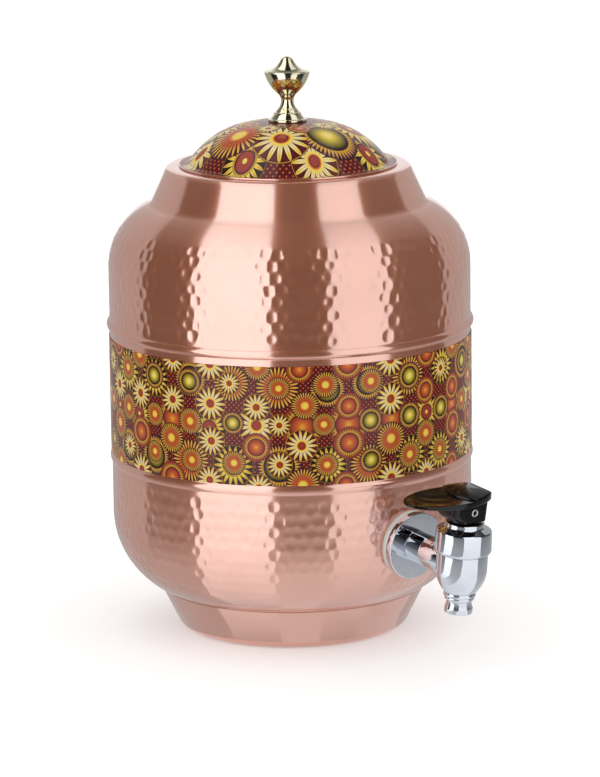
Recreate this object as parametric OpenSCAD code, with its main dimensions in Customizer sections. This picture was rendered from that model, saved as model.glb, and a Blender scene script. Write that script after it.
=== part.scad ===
// Copper water dispenser: a hammered vessel with a printed band, a lift-off
// lid with a turned knob, and a tap whose lever lifts a spring-loaded plug.
// Millimetres, +Z up, origin at the centre of the base, tap towards -Y.

/* [Vessel] */
// Outer radius of the straight wall
wall_r = 94.3; // [85:0.1:105]
// Length of the straight wall between bowl and shoulder
wall_h = 130; // [115:1:150]
// Thickness of the copper sheet
sheet_t = 1; // [0.7:0.1:1.4]
// Radius of the bowl that closes the wall below
bowl_r = 45; // [38:0.5:50]
// Height of the vessel's floor above the table
floor_z = 17; // [13:0.5:22]
// Radius of the shoulder's curve
shoulder_r = 36; // [30:0.5:40]
// Length of the lap joint between the two shells
lap_h = 9; // [5:0.5:14]

/* [Beads and band] */
// Height of the lower bead above the bowl's edge
lower_bead_h = 30; // [26:0.5:34]
// Height of the upper bead above the bowl's edge
upper_bead_h = 99.9; // [92:0.1:108]
// Half of a bead's height
bead_half = 2.3; // [1.6:0.1:3]
// How far the lower bead stands out
lower_bead_proud = 0.9; // [0.5:0.1:1.5]
// How far the upper bead stands out
upper_bead_proud = 1.5; // [0.6:0.1:2]
// Thickness of the printed band
band_t = 0.4; // [0.2:0.1:0.8]
// Copper left bare between the lower bead and the band
band_low_gap = 0.4; // [0.2:0.1:3]
// Copper left bare between the band and the upper bead
band_top_gap = 3.6; // [0.5:0.1:8]

/* [Foot] */
// Radius at which the foot's cone would meet the table
foot_edge_r = 59.2; // [54:0.1:62]
// Slope of the foot's cone from upright
foot_taper = 26.5; // [15:0.5:30]
// Rounding of the foot's lower edge
foot_round = 6; // [3:0.5:8]

/* [Neck and mouth] */
// How far the neck's upper edge lies inside the wall
neck_step = 31; // [28:0.1:34]
// Height of the rim above the top of the straight wall
neck_h = 52.1; // [48:0.1:58]
// Slope of the neck from upright
neck_taper = 25; // [15:0.5:30]
// Fillet between shoulder and neck
neck_fillet = 5; // [3:0.5:8]
// Rounding of the rim
rim_round = 4.5; // [3:0.1:6]
// Length of the turned-down edge of the mouth
mouth_edge_h = 6; // [4:0.5:10]

/* [Lid] */
// How far the lid's edge lies inside the rim
brim_inset = 6.5; // [5.5:0.1:8]
// Width of the lid's flat brim
brim_w = 4.3; // [3:0.1:6]
// Thickness of the lid's sheet
lid_t = 1; // [0.6:0.1:1.4]
// Height of the dome above the brim
dome_rise = 21.3; // [14:0.1:30]
// Fullness of the dome, where 2 is a parabola
dome_fullness = 3.3; // [2:0.1:4]
// Depth of the ring that keeps the lid in the mouth
lid_ring_h = 12; // [8:0.5:18]
// Thickness of that ring
lid_ring_t = 1; // [0.6:0.1:1.6]

/* [Knob] */
// Height of the knob
knob_h = 33.6; // [28:0.1:40]
// Radius of the knob's foot
knob_foot_r = 10.1; // [9.5:0.1:12]
// Height of the knob's foot ring
knob_foot_h = 1.3; // [1:0.1:1.8]
// Radius of the small step above the foot
knob_step_r = 7.1; // [6.4:0.1:7.8]
// Height of that step
knob_step_z = 4.6; // [4:0.1:5]
// Radius of the waist
knob_waist_r = 3.4; // [3.2:0.1:4]
// Height of the waist
knob_waist_z = 10.4; // [9.8:0.1:11.5]
// Radius of the curve at the waist
knob_waist_curve = 5; // [4.5:0.1:5.2]
// Radius of the knob's sharp brim
knob_brim_r = 12; // [11:0.1:14]
// Height of the brim
knob_brim_z = 25.1; // [23:0.1:26]
// Radius of the tip where it meets the flare
knob_tip_r = 3.6; // [3:0.1:4]
// Height of the tip
knob_tip_h = 2.3; // [1.8:0.1:3]
// Radius of the knob's screw
screw_r = 2; // [1.5:0.1:2.3]
// Length of screw inside the knob
screw_grip = 8; // [6:0.5:10]

/* [Tap] */
// Height of the tap's hole above the table
tap_z = 58.9; // [50:0.1:70]
// Angle by which the tap leans down from level
tap_lean = 6.2; // [0:0.1:8]
// Distance from the wall to the axis of the tap's barrel
tap_reach = 39.9; // [38:0.1:46]
// Radius of the wall flange
flange_r = 17.5; // [15:0.1:20]
// Thickness of the flange
flange_t = 2.8; // [2:0.1:4]
// Thickness of the outer gasket at its middle
gasket_t = 2.4; // [2:0.1:4]
// Radius of the threaded shank
shank_r = 7.5; // [6.5:0.1:8]
// Depth of the thread's grooves
thread_depth = 0.5; // [0.3:0.1:0.7]
// Radius of the water way through shank and pipe
bore_r = 4.6; // [3.5:0.1:5]
// Radius of the pipe
pipe_r = 8.1; // [8:0.1:8.8]
// Radius of the barrel's bowl
barrel_r = 13; // [12.4:0.1:14]
// Depth of the bowl below the pipe's axis
barrel_drop = 13.6; // [12:0.1:15]
// Radius of the ring under the bowl
ring_r = 8.2; // [7.8:0.1:9]
// Height of that ring
ring_h = 1.8; // [1.6:0.1:3]
// Length of the nozzle below that ring
nozzle_h = 9; // [8:0.1:14]
// Radius of the nozzle's neck
nozzle_r = 6.3; // [6:0.1:6.6]
// Radius of the nozzle's lip
nozzle_lip_r = 7.2; // [6.9:0.1:8]
// Radius of the outlet
outlet_r = 4.4; // [3.5:0.1:4.6]
// Width of the lock nut across its flats
nut_af = 24; // [21:0.5:28]
// Thickness of the lock nut
nut_t = 6; // [4:0.5:8]

/* [Bonnet and valve] */
// Radius of the bonnet's collar
bonnet_r = 14.5; // [14.2:0.1:16]
// Height of the collar's lower edge above the pipe's axis
bonnet_z = 7.6; // [7.4:0.1:9]
// Height of the collar
bonnet_h = 12; // [10:0.1:14]
// Radius of the ring on top of the collar
top_ring_r = 10; // [9.8:0.1:11]
// Height of that ring with the cone below it
top_ring_h = 4.4; // [3.6:0.1:5]
// Radius of the chamber inside the barrel
chamber_r = 9.4; // [9:0.1:9.8]
// Depth of the chamber's floor below the pipe's axis
chamber_drop = 5; // [4.8:0.1:6]
// Radius of the valve seat's hole
seat_r = 3.6; // [3:0.1:4]
// Radius of the sealing plug
plug_r = 6.2; // [5.5:0.1:7]
// Radius of the stem
stem_r = 2.5; // [2.2:0.1:2.7]
// Mean radius of the spring
spring_r = 5; // [4.6:0.1:5.6]
// Radius of the spring's wire
wire_r = 0.5; // [0.4:0.05:0.6]
// Turns of the spring
spring_turns = 7; // [5:1:8]

/* [Lever] */
// Height of the lever's pin above the bonnet's top
pin_h = 6.2; // [5.8:0.1:8]
// Radius of the pin
pin_r = 1.25; // [1:0.05:1.3]
// Radius of the pin's heads
pin_head_r = 2.1; // [1.6:0.1:2.4]
// Width of the lever's block
block_w = 14.6; // [13:0.1:18]
// Reach of the block behind the pin
block_back = 8.4; // [8:0.1:10]
// Reach of the block in front of the pin
block_front = 13.5; // [11:0.1:14.5]
// Radius of the round foot under the block
skirt_r = 9.3; // [8.8:0.1:9.6]
// Height of that foot
skirt_drop = 1.8; // [1.4:0.1:3]
// Height of the paddle's underside above the pin
paddle_lift = 5.9; // [5.6:0.1:7]
// Thickness of the paddle
paddle_t = 2.7; // [2.4:0.1:3.6]
// Reach of the paddle's tip from the pin
paddle_reach = 37.8; // [34:0.1:39]
// Width of the paddle
paddle_w = 28.6; // [24:0.1:30]
// Height of the crest above the paddle
crest_h = 2.4; // [1:0.1:3]
// Depth of the dish in the paddle
dish_d = 1.4; // [0.6:0.1:1.8]
// Angle of the lever from closed to open
lever_swing = 20; // [15:1:22]
// Direction of the paddle, turned from the tap's outlet side
lever_turn = 92; // [0:1:359]

/* [Clearances] */
// Glue or solder gap between fixed pieces
joint_gap = 0.05; // [0.02:0.01:0.1]
// Radial clearance of turning and sliding pieces
run_gap = 0.08; // [0.04:0.01:0.1]
// Clearance between the lid's ring and the mouth
lid_gap = 1; // [0.5:0.1:2]
// Clearance between the closed lever and the bonnet
lever_gap = 0.6; // [0.4:0.1:1]
// Clearance between the stem and the slot in the lever
slot_gap = 0.3; // [0.2:0.05:0.5]

/* [Hidden] */
$fn = 72;

COPPER = "#b57d6a";
PRINT = "#7d2a22";
NICKEL = "#b9b48f";
CHROME = "#c9ccd2";
SILICONE = "#ece9e2";
BLACK = "#17171a";
STEEL = "#9a9da3";
BRASS = "#b3934a";

// Heights of the vessel
bowl_z = floor_z + bowl_r;
shoulder_z = bowl_z + wall_h;
rim_z = shoulder_z + neck_h;
lower_bead_z = bowl_z + lower_bead_h;
upper_bead_z = bowl_z + upper_bead_h;
band_z0 = lower_bead_z + bead_half + band_low_gap;
band_z1 = upper_bead_z - bead_half - band_top_gap;
seam_z = (band_z0 + band_z1) / 2;

// Radii of neck and lid
neck_edge_r = wall_r - neck_step;
brim_r = neck_edge_r - brim_inset;
dome_r = brim_r - brim_w;
mouth_lap = 0.5;
mouth_r = dome_r - mouth_lap;
ring_out_r = mouth_r - lid_gap;
brim_z = rim_z + joint_gap;
dome_z = brim_z + lid_t;

// Place of the tap on the wall
tap_drop = max(0, bowl_z - tap_z);
tap_wall_r = wall_r - bowl_r + sqrt(bowl_r * bowl_r - tap_drop * tap_drop);

// Heights in the tap, from the pipe's axis
barrel_z = -barrel_drop - ring_h;
spigot_h = 6;
spigot_wall = 2.1;
spigot_r = chamber_r + spigot_wall;
spigot_z = bonnet_z + spigot_h;
seal_t = 1;
spring_room_h = 4;
ceiling_z = spigot_z + seal_t + 2 * joint_gap + spring_room_h;
bonnet_top = bonnet_z + bonnet_h + top_ring_h;
chamber_z = -chamber_drop;
plug_h = 3;
plug_hub_r = 4.4;
plug_hub_h = 3.4;
plug_top = chamber_z + joint_gap + plug_h + plug_hub_h;
stem_neck_r = stem_r - 0.3;
stem_foot_r = stem_r + 0.4;
stem_foot_h = 1.6;
stem_foot_cover = 1.2;
stem_foot_z = plug_top - stem_foot_cover - stem_foot_h;
disc_t = 1.4;
disc_top = plug_top + joint_gap + disc_t;
pin_z = bonnet_top + pin_h;
stem_end = 3;
stem_top = pin_z + stem_end;
flange_face = gasket_t + joint_gap + flange_t;
inner_gasket_t = 3.4;
inner_gasket_face = sheet_t + inner_gasket_t;
nut_face = inner_gasket_face + joint_gap;
shank_spare = 4;
shank_end = nut_face + nut_t + shank_spare;
tail_r = outlet_r + 1.2;
tail_h = 5;
tail_room = tail_h + seal_t + joint_gap;

function arc(c, r, a0, a1, n = 12) = [
    for (i = [0:n])
        let (a = a0 + (a1 - a0) * i / n)
        c + r * [cos(a), sin(a)]
];

// Arc from p to q that leaves p in the direction ta
function arc_from(p, ta, q, n = 12) =
    let (
        side = [-sin(ta), cos(ta)],
        d = q - p,
        r = (d * d) / (2 * (d * side)),
        c = p + r * side,
        a0 = atan2(p[1] - c[1], p[0] - c[0]),
        a1 = atan2(q[1] - c[1], q[0] - c[0]),
        turn = (a1 - a0 + 900) % 360 - 180
    )
    arc(c, abs(r), a0, a0 + turn, n);

function reversed(list) = [for (i = [len(list) - 1:-1:0]) list[i]];

// Rounded rib on an upright wall
function bead(z, proud) =
    let (
        r = (bead_half * bead_half + proud * proud) / (2 * proud),
        a = asin(bead_half / r)
    )
    arc([wall_r + proud - r, z], r, -a, a, 6);

// Bowl from the floor's middle to the wall, set in by o
function bowl_line(o) = concat(
    [[0, floor_z + o]],
    arc([wall_r - bowl_r, bowl_z], bowl_r - o, -90, 0, 18)
);

// Centre of the fillet between shoulder and neck
neck_up = [-sin(neck_taper), cos(neck_taper)];
neck_out = [cos(neck_taper), sin(neck_taper)];
shoulder_c = [wall_r - shoulder_r, shoulder_z];
fillet_q = [neck_edge_r, rim_z] + neck_fillet * neck_out - shoulder_c;
fillet_m = fillet_q * neck_up;
fillet_s = -fillet_m + sqrt(
    fillet_m * fillet_m - fillet_q * fillet_q + pow(shoulder_r + neck_fillet, 2)
);
fillet_c = shoulder_c + fillet_q + fillet_s * neck_up;
fillet_a = atan2(fillet_c[1] - shoulder_c[1], fillet_c[0] - shoulder_c[0]);
rim_c = [
    neck_edge_r - rim_round * (1 - sin(neck_taper)) / cos(neck_taper),
    rim_z - rim_round
];

// Shoulder, neck and rim, set in by o
function neck_line(o) = concat(
    arc(shoulder_c, shoulder_r - o, 0, fillet_a, 14),
    arc(fillet_c, neck_fillet + o, 180 + fillet_a, 180 + neck_taper, 6),
    arc(rim_c, rim_round - o, neck_taper, 90, 6)
);

// Height of the dome's outer face, lowered by o
function dome_at(r, o = 0) =
    dome_z - o + dome_rise * (1 - pow(r / (dome_r - o), dome_fullness));

function dome_line(o) = [
    for (i = [0:18])
        let (r = (dome_r - o) * (1 - i / 18))
        [r, dome_at(r, o)]
];

// Foot's cone up to the bowl, set in by o
foot_up = [sin(foot_taper), cos(foot_taper)];
foot_in = [-cos(foot_taper), sin(foot_taper)];
foot_c = [
    foot_edge_r - foot_round * (1 - sin(foot_taper)) / cos(foot_taper),
    foot_round
];
function foot_top(o) =
    let (
        e = [foot_edge_r, 0] + o * foot_in,
        q = e - [wall_r - bowl_r, bowl_z],
        m = q * foot_up
    )
    e + (-m - sqrt(m * m - q * q + pow(bowl_r + joint_gap, 2))) * foot_up;
function foot_line(o) = concat(
    [[0, o]],
    arc(foot_c, foot_round - o, -90, -foot_taper, 8),
    [foot_top(o)]
);

module turned(points) {
    rotate_extrude() polygon(points);
}

// Frame of the tap: wall point at the origin, outlet side along -Y
module at_tap() {
    translate([0, -tap_wall_r, tap_z]) rotate([tap_lean, 0, 0]) children();
}

// Pieces turned about the shank, with z running outwards from the wall
module along_shank() {
    at_tap() rotate([90, 0, 0]) children();
}

// Pieces turned about the barrel, with z from the pipe's axis
module at_barrel() {
    at_tap() translate([0, -tap_reach, 0]) children();
}

// Pieces that turn with the lever, with x along the paddle
module at_lever() {
    at_barrel() rotate([0, 0, -90 - lever_turn]) children();
}

module ring(r_out, r_in, z0, z1) {
    translate([0, 0, z0])
        difference() {
            cylinder(r = r_out, h = z1 - z0);
            translate([0, 0, -1]) cylinder(r = r_in, h = z1 - z0 + 2);
        }
}

// Inside and outside of the wall as solids, for what seats on them
module wall_solid(o) {
    rotate_extrude($fn = 360)
        polygon(concat(bowl_line(o), [[wall_r - o, band_z1], [0, band_z1]]));
}

module lower_shell() {
    tongue_r = wall_r - sheet_t - joint_gap;
    step_z = seam_z - lap_h / 2;
    outer = concat(
        bowl_line(0),
        bead(lower_bead_z, lower_bead_proud),
        [
            [wall_r, seam_z - joint_gap], [tongue_r, seam_z - joint_gap],
            [tongue_r, seam_z + lap_h], [tongue_r - sheet_t, seam_z + lap_h],
            [tongue_r - sheet_t, step_z + sheet_t], [wall_r - sheet_t, step_z]
        ]
    );
    color(COPPER)
        difference() {
            turned(concat(outer, reversed(bowl_line(sheet_t))));
            along_shank() translate([0, 0, -bowl_r / 2])
                cylinder(r = shank_r + joint_gap, h = bowl_r);
        }
}

module upper_shell() {
    outer = concat([[wall_r, seam_z]], bead(upper_bead_z, upper_bead_proud), neck_line(0));
    edge = [
        [mouth_r, rim_z], [mouth_r, rim_z - mouth_edge_h],
        [mouth_r + sheet_t, rim_z - mouth_edge_h], [mouth_r + sheet_t, rim_z - sheet_t]
    ];
    inner = reversed(neck_line(sheet_t));
    color(COPPER) turned(concat(outer, edge, inner, [[wall_r - sheet_t, seam_z]]));
}

module foot_cup() {
    color(COPPER) turned(concat(foot_line(0), reversed(foot_line(sheet_t))));
}

module print_band() {
    inner = wall_r + joint_gap;
    color(PRINT) ring(inner + band_t, inner, band_z0, band_z1);
}

module lid_dome() {
    brim = [[brim_r, brim_z], [brim_r, dome_z]];
    color(PRINT)
        difference() {
            turned(concat(brim, dome_line(0), reversed(dome_line(lid_t))));
            cylinder(r = screw_r + run_gap, h = 2 * rim_z);
        }
}

module lid_ring() {
    in_r = ring_out_r - lid_ring_t;
    color(COPPER)
        turned([
            [in_r, brim_z - lid_ring_h], [ring_out_r, brim_z - lid_ring_h],
            [ring_out_r, dome_at(ring_out_r, lid_t) - joint_gap],
            [in_r, dome_at(in_r, lid_t) - joint_gap]
        ]);
}

// The knob stands on a narrow rim around a shallow recess
knob_rim_w = 2;
knob_recess_r = knob_foot_r - knob_rim_w;
knob_recess_h = 1;
knob_edge = 0.5;
knob_z = dome_at(knob_recess_r) + joint_gap;

module knob() {
    waist_c = [knob_waist_r + knob_waist_curve, knob_waist_z];
    low_a = 232;
    high_a = 128;
    waist = arc(waist_c, knob_waist_curve, low_a, high_a, 12);
    bowl_end = [knob_brim_r, knob_brim_z];
    flare_start = [knob_brim_r, knob_brim_z + knob_edge];
    flare_a = 172;
    flare_end = [knob_tip_r, knob_h - knob_tip_h];
    tip_r = (knob_tip_r * knob_tip_r + knob_tip_h * knob_tip_h) / (2 * knob_tip_h);
    tip_a = acos(knob_tip_r / tip_r);
    outline = concat(
        [[knob_recess_r, 0], [knob_foot_r, 0]],
        [[knob_foot_r, knob_foot_h], [knob_foot_r - knob_edge, knob_foot_h + knob_edge]],
        [[knob_step_r, knob_step_z], [knob_step_r - knob_edge, knob_step_z + knob_edge]],
        waist,
        arc_from(waist[12], high_a - 90, bowl_end, 10),
        arc_from(flare_start, flare_a, flare_end, 8),
        arc([0, knob_h - tip_r], tip_r, tip_a, 90, 6),
        [[0, knob_recess_h], [knob_recess_r, knob_recess_h]]
    );
    color(NICKEL)
        translate([0, 0, knob_z])
            difference() {
                turned(outline);
                cylinder(r = screw_r + joint_gap, h = screw_grip + joint_gap);
            }
}

washer_t = 0.8;
washer_r = 2.5 * screw_r;
washer_z = dome_at(washer_r, lid_t) - joint_gap;

module knob_washer() {
    color(STEEL) ring(washer_r, screw_r + run_gap, washer_z - washer_t, washer_z);
}

module knob_screw() {
    head_r = screw_r * 1.9;
    head_h = screw_r * 1.2;
    top = washer_z - washer_t - joint_gap;
    color(STEEL)
        translate([0, 0, top])
            difference() {
                union() {
                    turned(concat(
                        [[0, -head_h]],
                        arc([head_r - head_h * 0.6, -head_h * 0.4], head_h * 0.6, -90, 0, 6),
                        [[head_r, 0], [0, 0]]
                    ));
                    cylinder(r = screw_r, h = knob_z + screw_grip - top);
                }
                translate([-head_r, -screw_r * 0.2, -head_h - 1])
                    cube([2 * head_r, screw_r * 0.4, head_h * 0.5 + 1]);
            }
}

// Soft rings that follow the wall on both sides of the tap's hole
gasket_inset = 0.2;
gasket_depth = 8;

module outer_gasket() {
    color(SILICONE)
        difference() {
            along_shank() ring(flange_r - gasket_inset, shank_r + joint_gap, -gasket_depth, gasket_t);
            wall_solid(-joint_gap);
        }
}

module wall_flange() {
    z0 = gasket_t + joint_gap;
    edge = 0.4;
    color(CHROME)
        along_shank() turned([
            [shank_r + joint_gap, z0], [flange_r - edge, z0], [flange_r, z0 + edge],
            [flange_r, flange_face - edge], [flange_r - edge, flange_face],
            [shank_r + joint_gap, flange_face]
        ]);
}

module inner_gasket() {
    color(SILICONE)
        intersection() {
            along_shank()
                ring(nut_af / 2 + gasket_inset, shank_r + joint_gap, -inner_gasket_face, gasket_depth);
            wall_solid(sheet_t + joint_gap);
        }
}

module lock_nut() {
    color(SILICONE)
        along_shank() translate([0, 0, -nut_face - nut_t])
            difference() {
                cylinder(d = nut_af / cos(30), h = nut_t, $fn = 6);
                translate([0, 0, -1]) cylinder(r = shank_r + joint_gap, h = nut_t + 2);
            }
}

module tap_body() {
    pitch = 1.8;
    thread_from = -shank_end + pitch;
    threads = floor((shank_end - sheet_t - 2 * pitch) / pitch);
    edge = 0.4;
    bowl_pts = arc_from([barrel_r, -1], -90, [ring_r - edge, -barrel_drop], 12);
    color(CHROME)
        difference() {
            union() {
                along_shank() {
                    translate([0, 0, -shank_end]) cylinder(r = shank_r, h = shank_end + tap_reach);
                    translate([0, 0, flange_face + joint_gap])
                        cylinder(r = pipe_r, h = tap_reach - flange_face);
                }
                at_barrel() turned(concat(
                    [[0, spigot_z], [0, barrel_z], [ring_r - edge, barrel_z], [ring_r, barrel_z + edge]],
                    [[ring_r, -barrel_drop - edge]],
                    reversed(bowl_pts),
                    [[barrel_r, bonnet_z - joint_gap], [spigot_r, bonnet_z - joint_gap]],
                    [[spigot_r, spigot_z]]
                ));
            }
            along_shank() translate([0, 0, -shank_end - 1]) cylinder(r = bore_r, h = shank_end + tap_reach);
            along_shank() for (i = [0:threads - 1])
                translate([0, 0, thread_from + i * pitch])
                    ring(shank_r + 1, shank_r - thread_depth, 0, pitch / 2);
            at_barrel() {
                ring(bonnet_r + joint_gap, spigot_r, bonnet_z - joint_gap, spigot_z);
                translate([0, 0, chamber_z]) cylinder(r = chamber_r, h = spigot_z - chamber_z + 1);
                translate([0, 0, barrel_z - 1]) cylinder(r = seat_r, h = chamber_z - barrel_z + 2);
                translate([0, 0, barrel_z - 1]) cylinder(r = tail_r + joint_gap, h = tail_room + 1);
            }
        }
}

module nozzle() {
    top = barrel_z - joint_gap;
    band = ring_r - 0.6;
    band_h = 2;
    edge = 0.4;
    lip = 2.6;
    outline = concat(
        [[outlet_r, tail_h], [tail_r, tail_h], [tail_r, 0], [band - edge, 0], [band, -edge]],
        [[band, edge - band_h], [band - edge, -band_h]],
        arc_from([nozzle_r, -band_h - edge], -90, [nozzle_lip_r, -nozzle_h + lip], 6),
        arc([nozzle_lip_r - lip / 2, -nozzle_h + lip / 2], lip / 2, 0, -90, 5),
        [[outlet_r, -nozzle_h]]
    );
    color(CHROME) at_barrel() translate([0, 0, top]) turned(outline);
}

module nozzle_seal() {
    z0 = barrel_z + tail_h;
    color(SILICONE) at_barrel() ring(tail_r, outlet_r, z0, z0 + seal_t);
}

module bonnet() {
    top = bonnet_z + bonnet_h;
    draft = 0.4;
    cone_h = 2;
    low_wall = 1.6;
    low_r = spigot_r + low_wall;
    low_h = 2.2;
    edge = 0.6;
    shelf_z = spigot_z + seal_t + 2 * joint_gap;
    spring_room_r = spring_r + wire_r + 1;
    outline = concat(
        [[stem_r + run_gap, bonnet_top], [top_ring_r - edge, bonnet_top]],
        [[top_ring_r, bonnet_top - edge], [top_ring_r, top + cone_h], [bonnet_r - draft, top]],
        arc_from([bonnet_r, bonnet_z + low_h], -90, [low_r, bonnet_z], 5),
        [[spigot_r + joint_gap, bonnet_z], [spigot_r + joint_gap, shelf_z]],
        [[spring_room_r, shelf_z], [spring_room_r, ceiling_z], [stem_r + run_gap, ceiling_z]]
    );
    color(CHROME) at_barrel() turned(outline);
}

module bonnet_seal() {
    z0 = spigot_z + joint_gap;
    color(SILICONE) at_barrel() ring(spigot_r, chamber_r, z0, z0 + seal_t);
}

module stem_seal() {
    z1 = ceiling_z - joint_gap;
    color(BLACK) at_barrel() ring(stem_r + seal_t, stem_r + run_gap, z1 - seal_t, z1);
}

module valve_plug() {
    z0 = chamber_z + joint_gap;
    nose_r = seat_r - 0.3;
    nose_h = 2.2;
    edge = 0.6;
    color(SILICONE)
        at_barrel() difference() {
            turned([
                [0, z0 - nose_h], [nose_r / 2, z0 - nose_h], [nose_r, z0], [plug_r, z0],
                [plug_r, z0 + plug_h - edge], [plug_r - edge, z0 + plug_h],
                [plug_hub_r, z0 + plug_h], [plug_hub_r, plug_top], [0, plug_top]
            ]);
            translate([0, 0, stem_foot_z - run_gap])
                cylinder(r = stem_foot_r + run_gap, h = stem_foot_h + 2 * run_gap);
            translate([0, 0, stem_foot_z]) cylinder(r = stem_neck_r + run_gap, h = plug_h + plug_hub_h);
        }
}

module valve_stem() {
    color(BRASS)
        at_lever() difference() {
            union() {
                translate([0, 0, stem_foot_z]) cylinder(r = stem_foot_r, h = stem_foot_h);
                translate([0, 0, stem_foot_z]) cylinder(r = stem_neck_r, h = disc_top - stem_foot_z);
                translate([0, 0, disc_top - disc_t]) cylinder(r = spring_r + 2 * wire_r, h = disc_t);
                translate([0, 0, disc_top - disc_t]) cylinder(r = stem_r, h = stem_top - disc_top + disc_t);
            }
            translate([0, 0, pin_z]) rotate([90, 0, 0])
                cylinder(r = pin_r + joint_gap, h = 4 * stem_r, center = true);
        }
}

// Coil of round wire between the stem's disc and the bonnet
spring_z0 = disc_top + joint_gap + wire_r;
spring_z1 = ceiling_z - joint_gap - wire_r;
coil_rings = 8 * spring_turns;
coil_sides = 6;
function coil_point(i) =
    let (a = 45 * i)
    [spring_r * cos(a), spring_r * sin(a), spring_z0 + (spring_z1 - spring_z0) * i / coil_rings];
function coil_ring(i) =
    let (a = 45 * i, c = coil_point(i))
    [
        for (k = [0:coil_sides - 1])
            let (b = 360 * k / coil_sides)
            c + wire_r * [cos(b) * cos(a), cos(b) * sin(a), sin(b)]
    ];
coil_gap = (spring_z1 - spring_z0) / spring_turns - 2 * wire_r;
echo(least_spring_gap = coil_gap);

module valve_spring() {
    points = [for (i = [0:coil_rings]) each coil_ring(i)];
    side = [
        for (i = [0:coil_rings - 1], k = [0:coil_sides - 1])
            let (
                a = i * coil_sides + k,
                b = i * coil_sides + (k + 1) % coil_sides
            )
            each [[a, a + coil_sides, b], [b, a + coil_sides, b + coil_sides]]
    ];
    last = coil_rings * coil_sides;
    ends = [
        for (k = [1:coil_sides - 2])
            each [[0, k, k + 1], [last, last + k + 1, last + k]]
    ];
    color(STEEL) at_barrel() polyhedron(points, concat(side, ends));
}

module lever_pin() {
    length = block_w + 2 * run_gap;
    head_t = 0.4;
    color(STEEL)
        at_lever() translate([0, 0, pin_z]) rotate([90, 0, 0]) {
            cylinder(r = pin_r, h = length, center = true);
            for (s = [-1, 1])
                translate([0, 0, s * (length + head_t) / 2])
                    cylinder(r = pin_head_r, h = head_t, center = true);
        }
}

// Outline of the block, seen from above
module block_plan() {
    corner = 2.4;
    side = block_w / 2 - corner;
    polygon(concat(
        arc([block_front - corner, side], corner, 0, 90, 4),
        arc([-block_back + corner, side], corner, 90, 180, 4),
        arc([-block_back + corner, -side], corner, 180, 270, 4),
        arc([block_front - corner, -side], corner, 270, 360, 4)
    ));
}

// The paddle's oval ends at the back of the cap, which overhangs the block
cap_over = 0.9;
cap_back = -block_back - cap_over;
cap_w = block_w + 2 * cap_over;

module paddle_plan() {
    share = sqrt(1 - pow(cap_w / paddle_w, 2));
    half = (paddle_reach - cap_back) / (1 + share);
    last = acos(-share);
    polygon([
        for (i = [-18:18])
            let (a = last * i / 18)
            [paddle_reach - half + half * cos(a), paddle_w / 2 * sin(a)]
    ]);
}

// The lever's outline from the side, drawn across the whole paddle
module across_paddle(points) {
    intersection() {
        translate([0, 0, -pin_h]) linear_extrude(height = 4 * pin_h) paddle_plan();
        rotate([90, 0, 0]) linear_extrude(height = 2 * paddle_w, center = true) polygon(points);
    }
}

module lever() {
    under = paddle_lift;
    top = paddle_lift + paddle_t;
    bottom = -pin_h + lever_gap;
    rim_t = paddle_t / 2;
    crest = [0, top + crest_h];
    crown_r = (paddle_w * paddle_w / 4 + crest_h * crest_h) / (2 * crest_h);
    front_arc = arc_from(crest, 0, [block_front, top], 6);
    back_arc = arc_from(crest, 180, [cap_back, top + crest_h / 2], 6);
    cap_line = concat(
        [[cap_back, under]], reversed(back_arc), [for (i = [1:6]) front_arc[i]], [[block_front, under]]
    );
    paddle_line = [
        [cap_back, under], [cap_back, top], [paddle_reach, top],
        [paddle_reach, top - rim_t], [block_front, under]
    ];
    dish_rim = 2;
    dish_r = (paddle_reach - block_front) / 2 - dish_rim;
    dish_c = (dish_r * dish_r + dish_d * dish_d) / (2 * dish_d);
    slot_front = pin_h * tan(lever_swing) + stem_r / cos(lever_swing) + slot_gap;
    slot_back = stem_end * tan(lever_swing) + stem_r / cos(lever_swing) + slot_gap;
    slot_top = stem_end * cos(lever_swing) + stem_r * sin(lever_swing) + slot_gap;
    foot_lap = 1;
    color(BLACK)
        at_lever() translate([0, 0, pin_z]) difference() {
            union() {
                across_paddle(paddle_line);
                intersection() {
                    across_paddle(cap_line);
                    translate([0, 0, top + crest_h - crown_r]) rotate([0, 90, 0])
                        cylinder(r = crown_r, h = 3 * paddle_reach, center = true, $fn = 180);
                }
                translate([0, 0, bottom + skirt_drop])
                    linear_extrude(height = under - bottom - skirt_drop + foot_lap) block_plan();
                intersection() {
                    translate([0, 0, bottom]) cylinder(r = skirt_r, h = skirt_drop + foot_lap);
                    translate([-skirt_r, -block_w / 2, bottom])
                        cube([2 * skirt_r, block_w, skirt_drop + foot_lap]);
                }
            }
            translate([-slot_back, -stem_r - slot_gap, bottom - foot_lap])
                cube([slot_front + slot_back, 2 * (stem_r + slot_gap), slot_top - bottom + foot_lap]);
            rotate([90, 0, 0]) cylinder(r = pin_r + run_gap, h = 2 * block_w, center = true);
            translate([(block_front + paddle_reach) / 2, 0, top + dish_c - dish_d]) sphere(r = dish_c);
        }
}

lower_shell();
upper_shell();
foot_cup();
print_band();
lid_dome();
lid_ring();
knob();
knob_screw();
knob_washer();
outer_gasket();
wall_flange();
tap_body();
inner_gasket();
lock_nut();
nozzle();
nozzle_seal();
bonnet();
bonnet_seal();
stem_seal();
valve_plug();
valve_stem();
valve_spring();
lever_pin();
lever();
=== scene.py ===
"""Looks of a copper water dispenser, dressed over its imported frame."""
import logging
from dataclasses import dataclass, field
from enum import Enum
from math import acos, asin, atan2, ceil, cos, degrees, dist, hypot, pi, radians, sin, sqrt
from typing import Callable, Optional, Sequence, Union

import bmesh
import bpy
import numpy as np
from mathutils import Matrix, Vector


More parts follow.
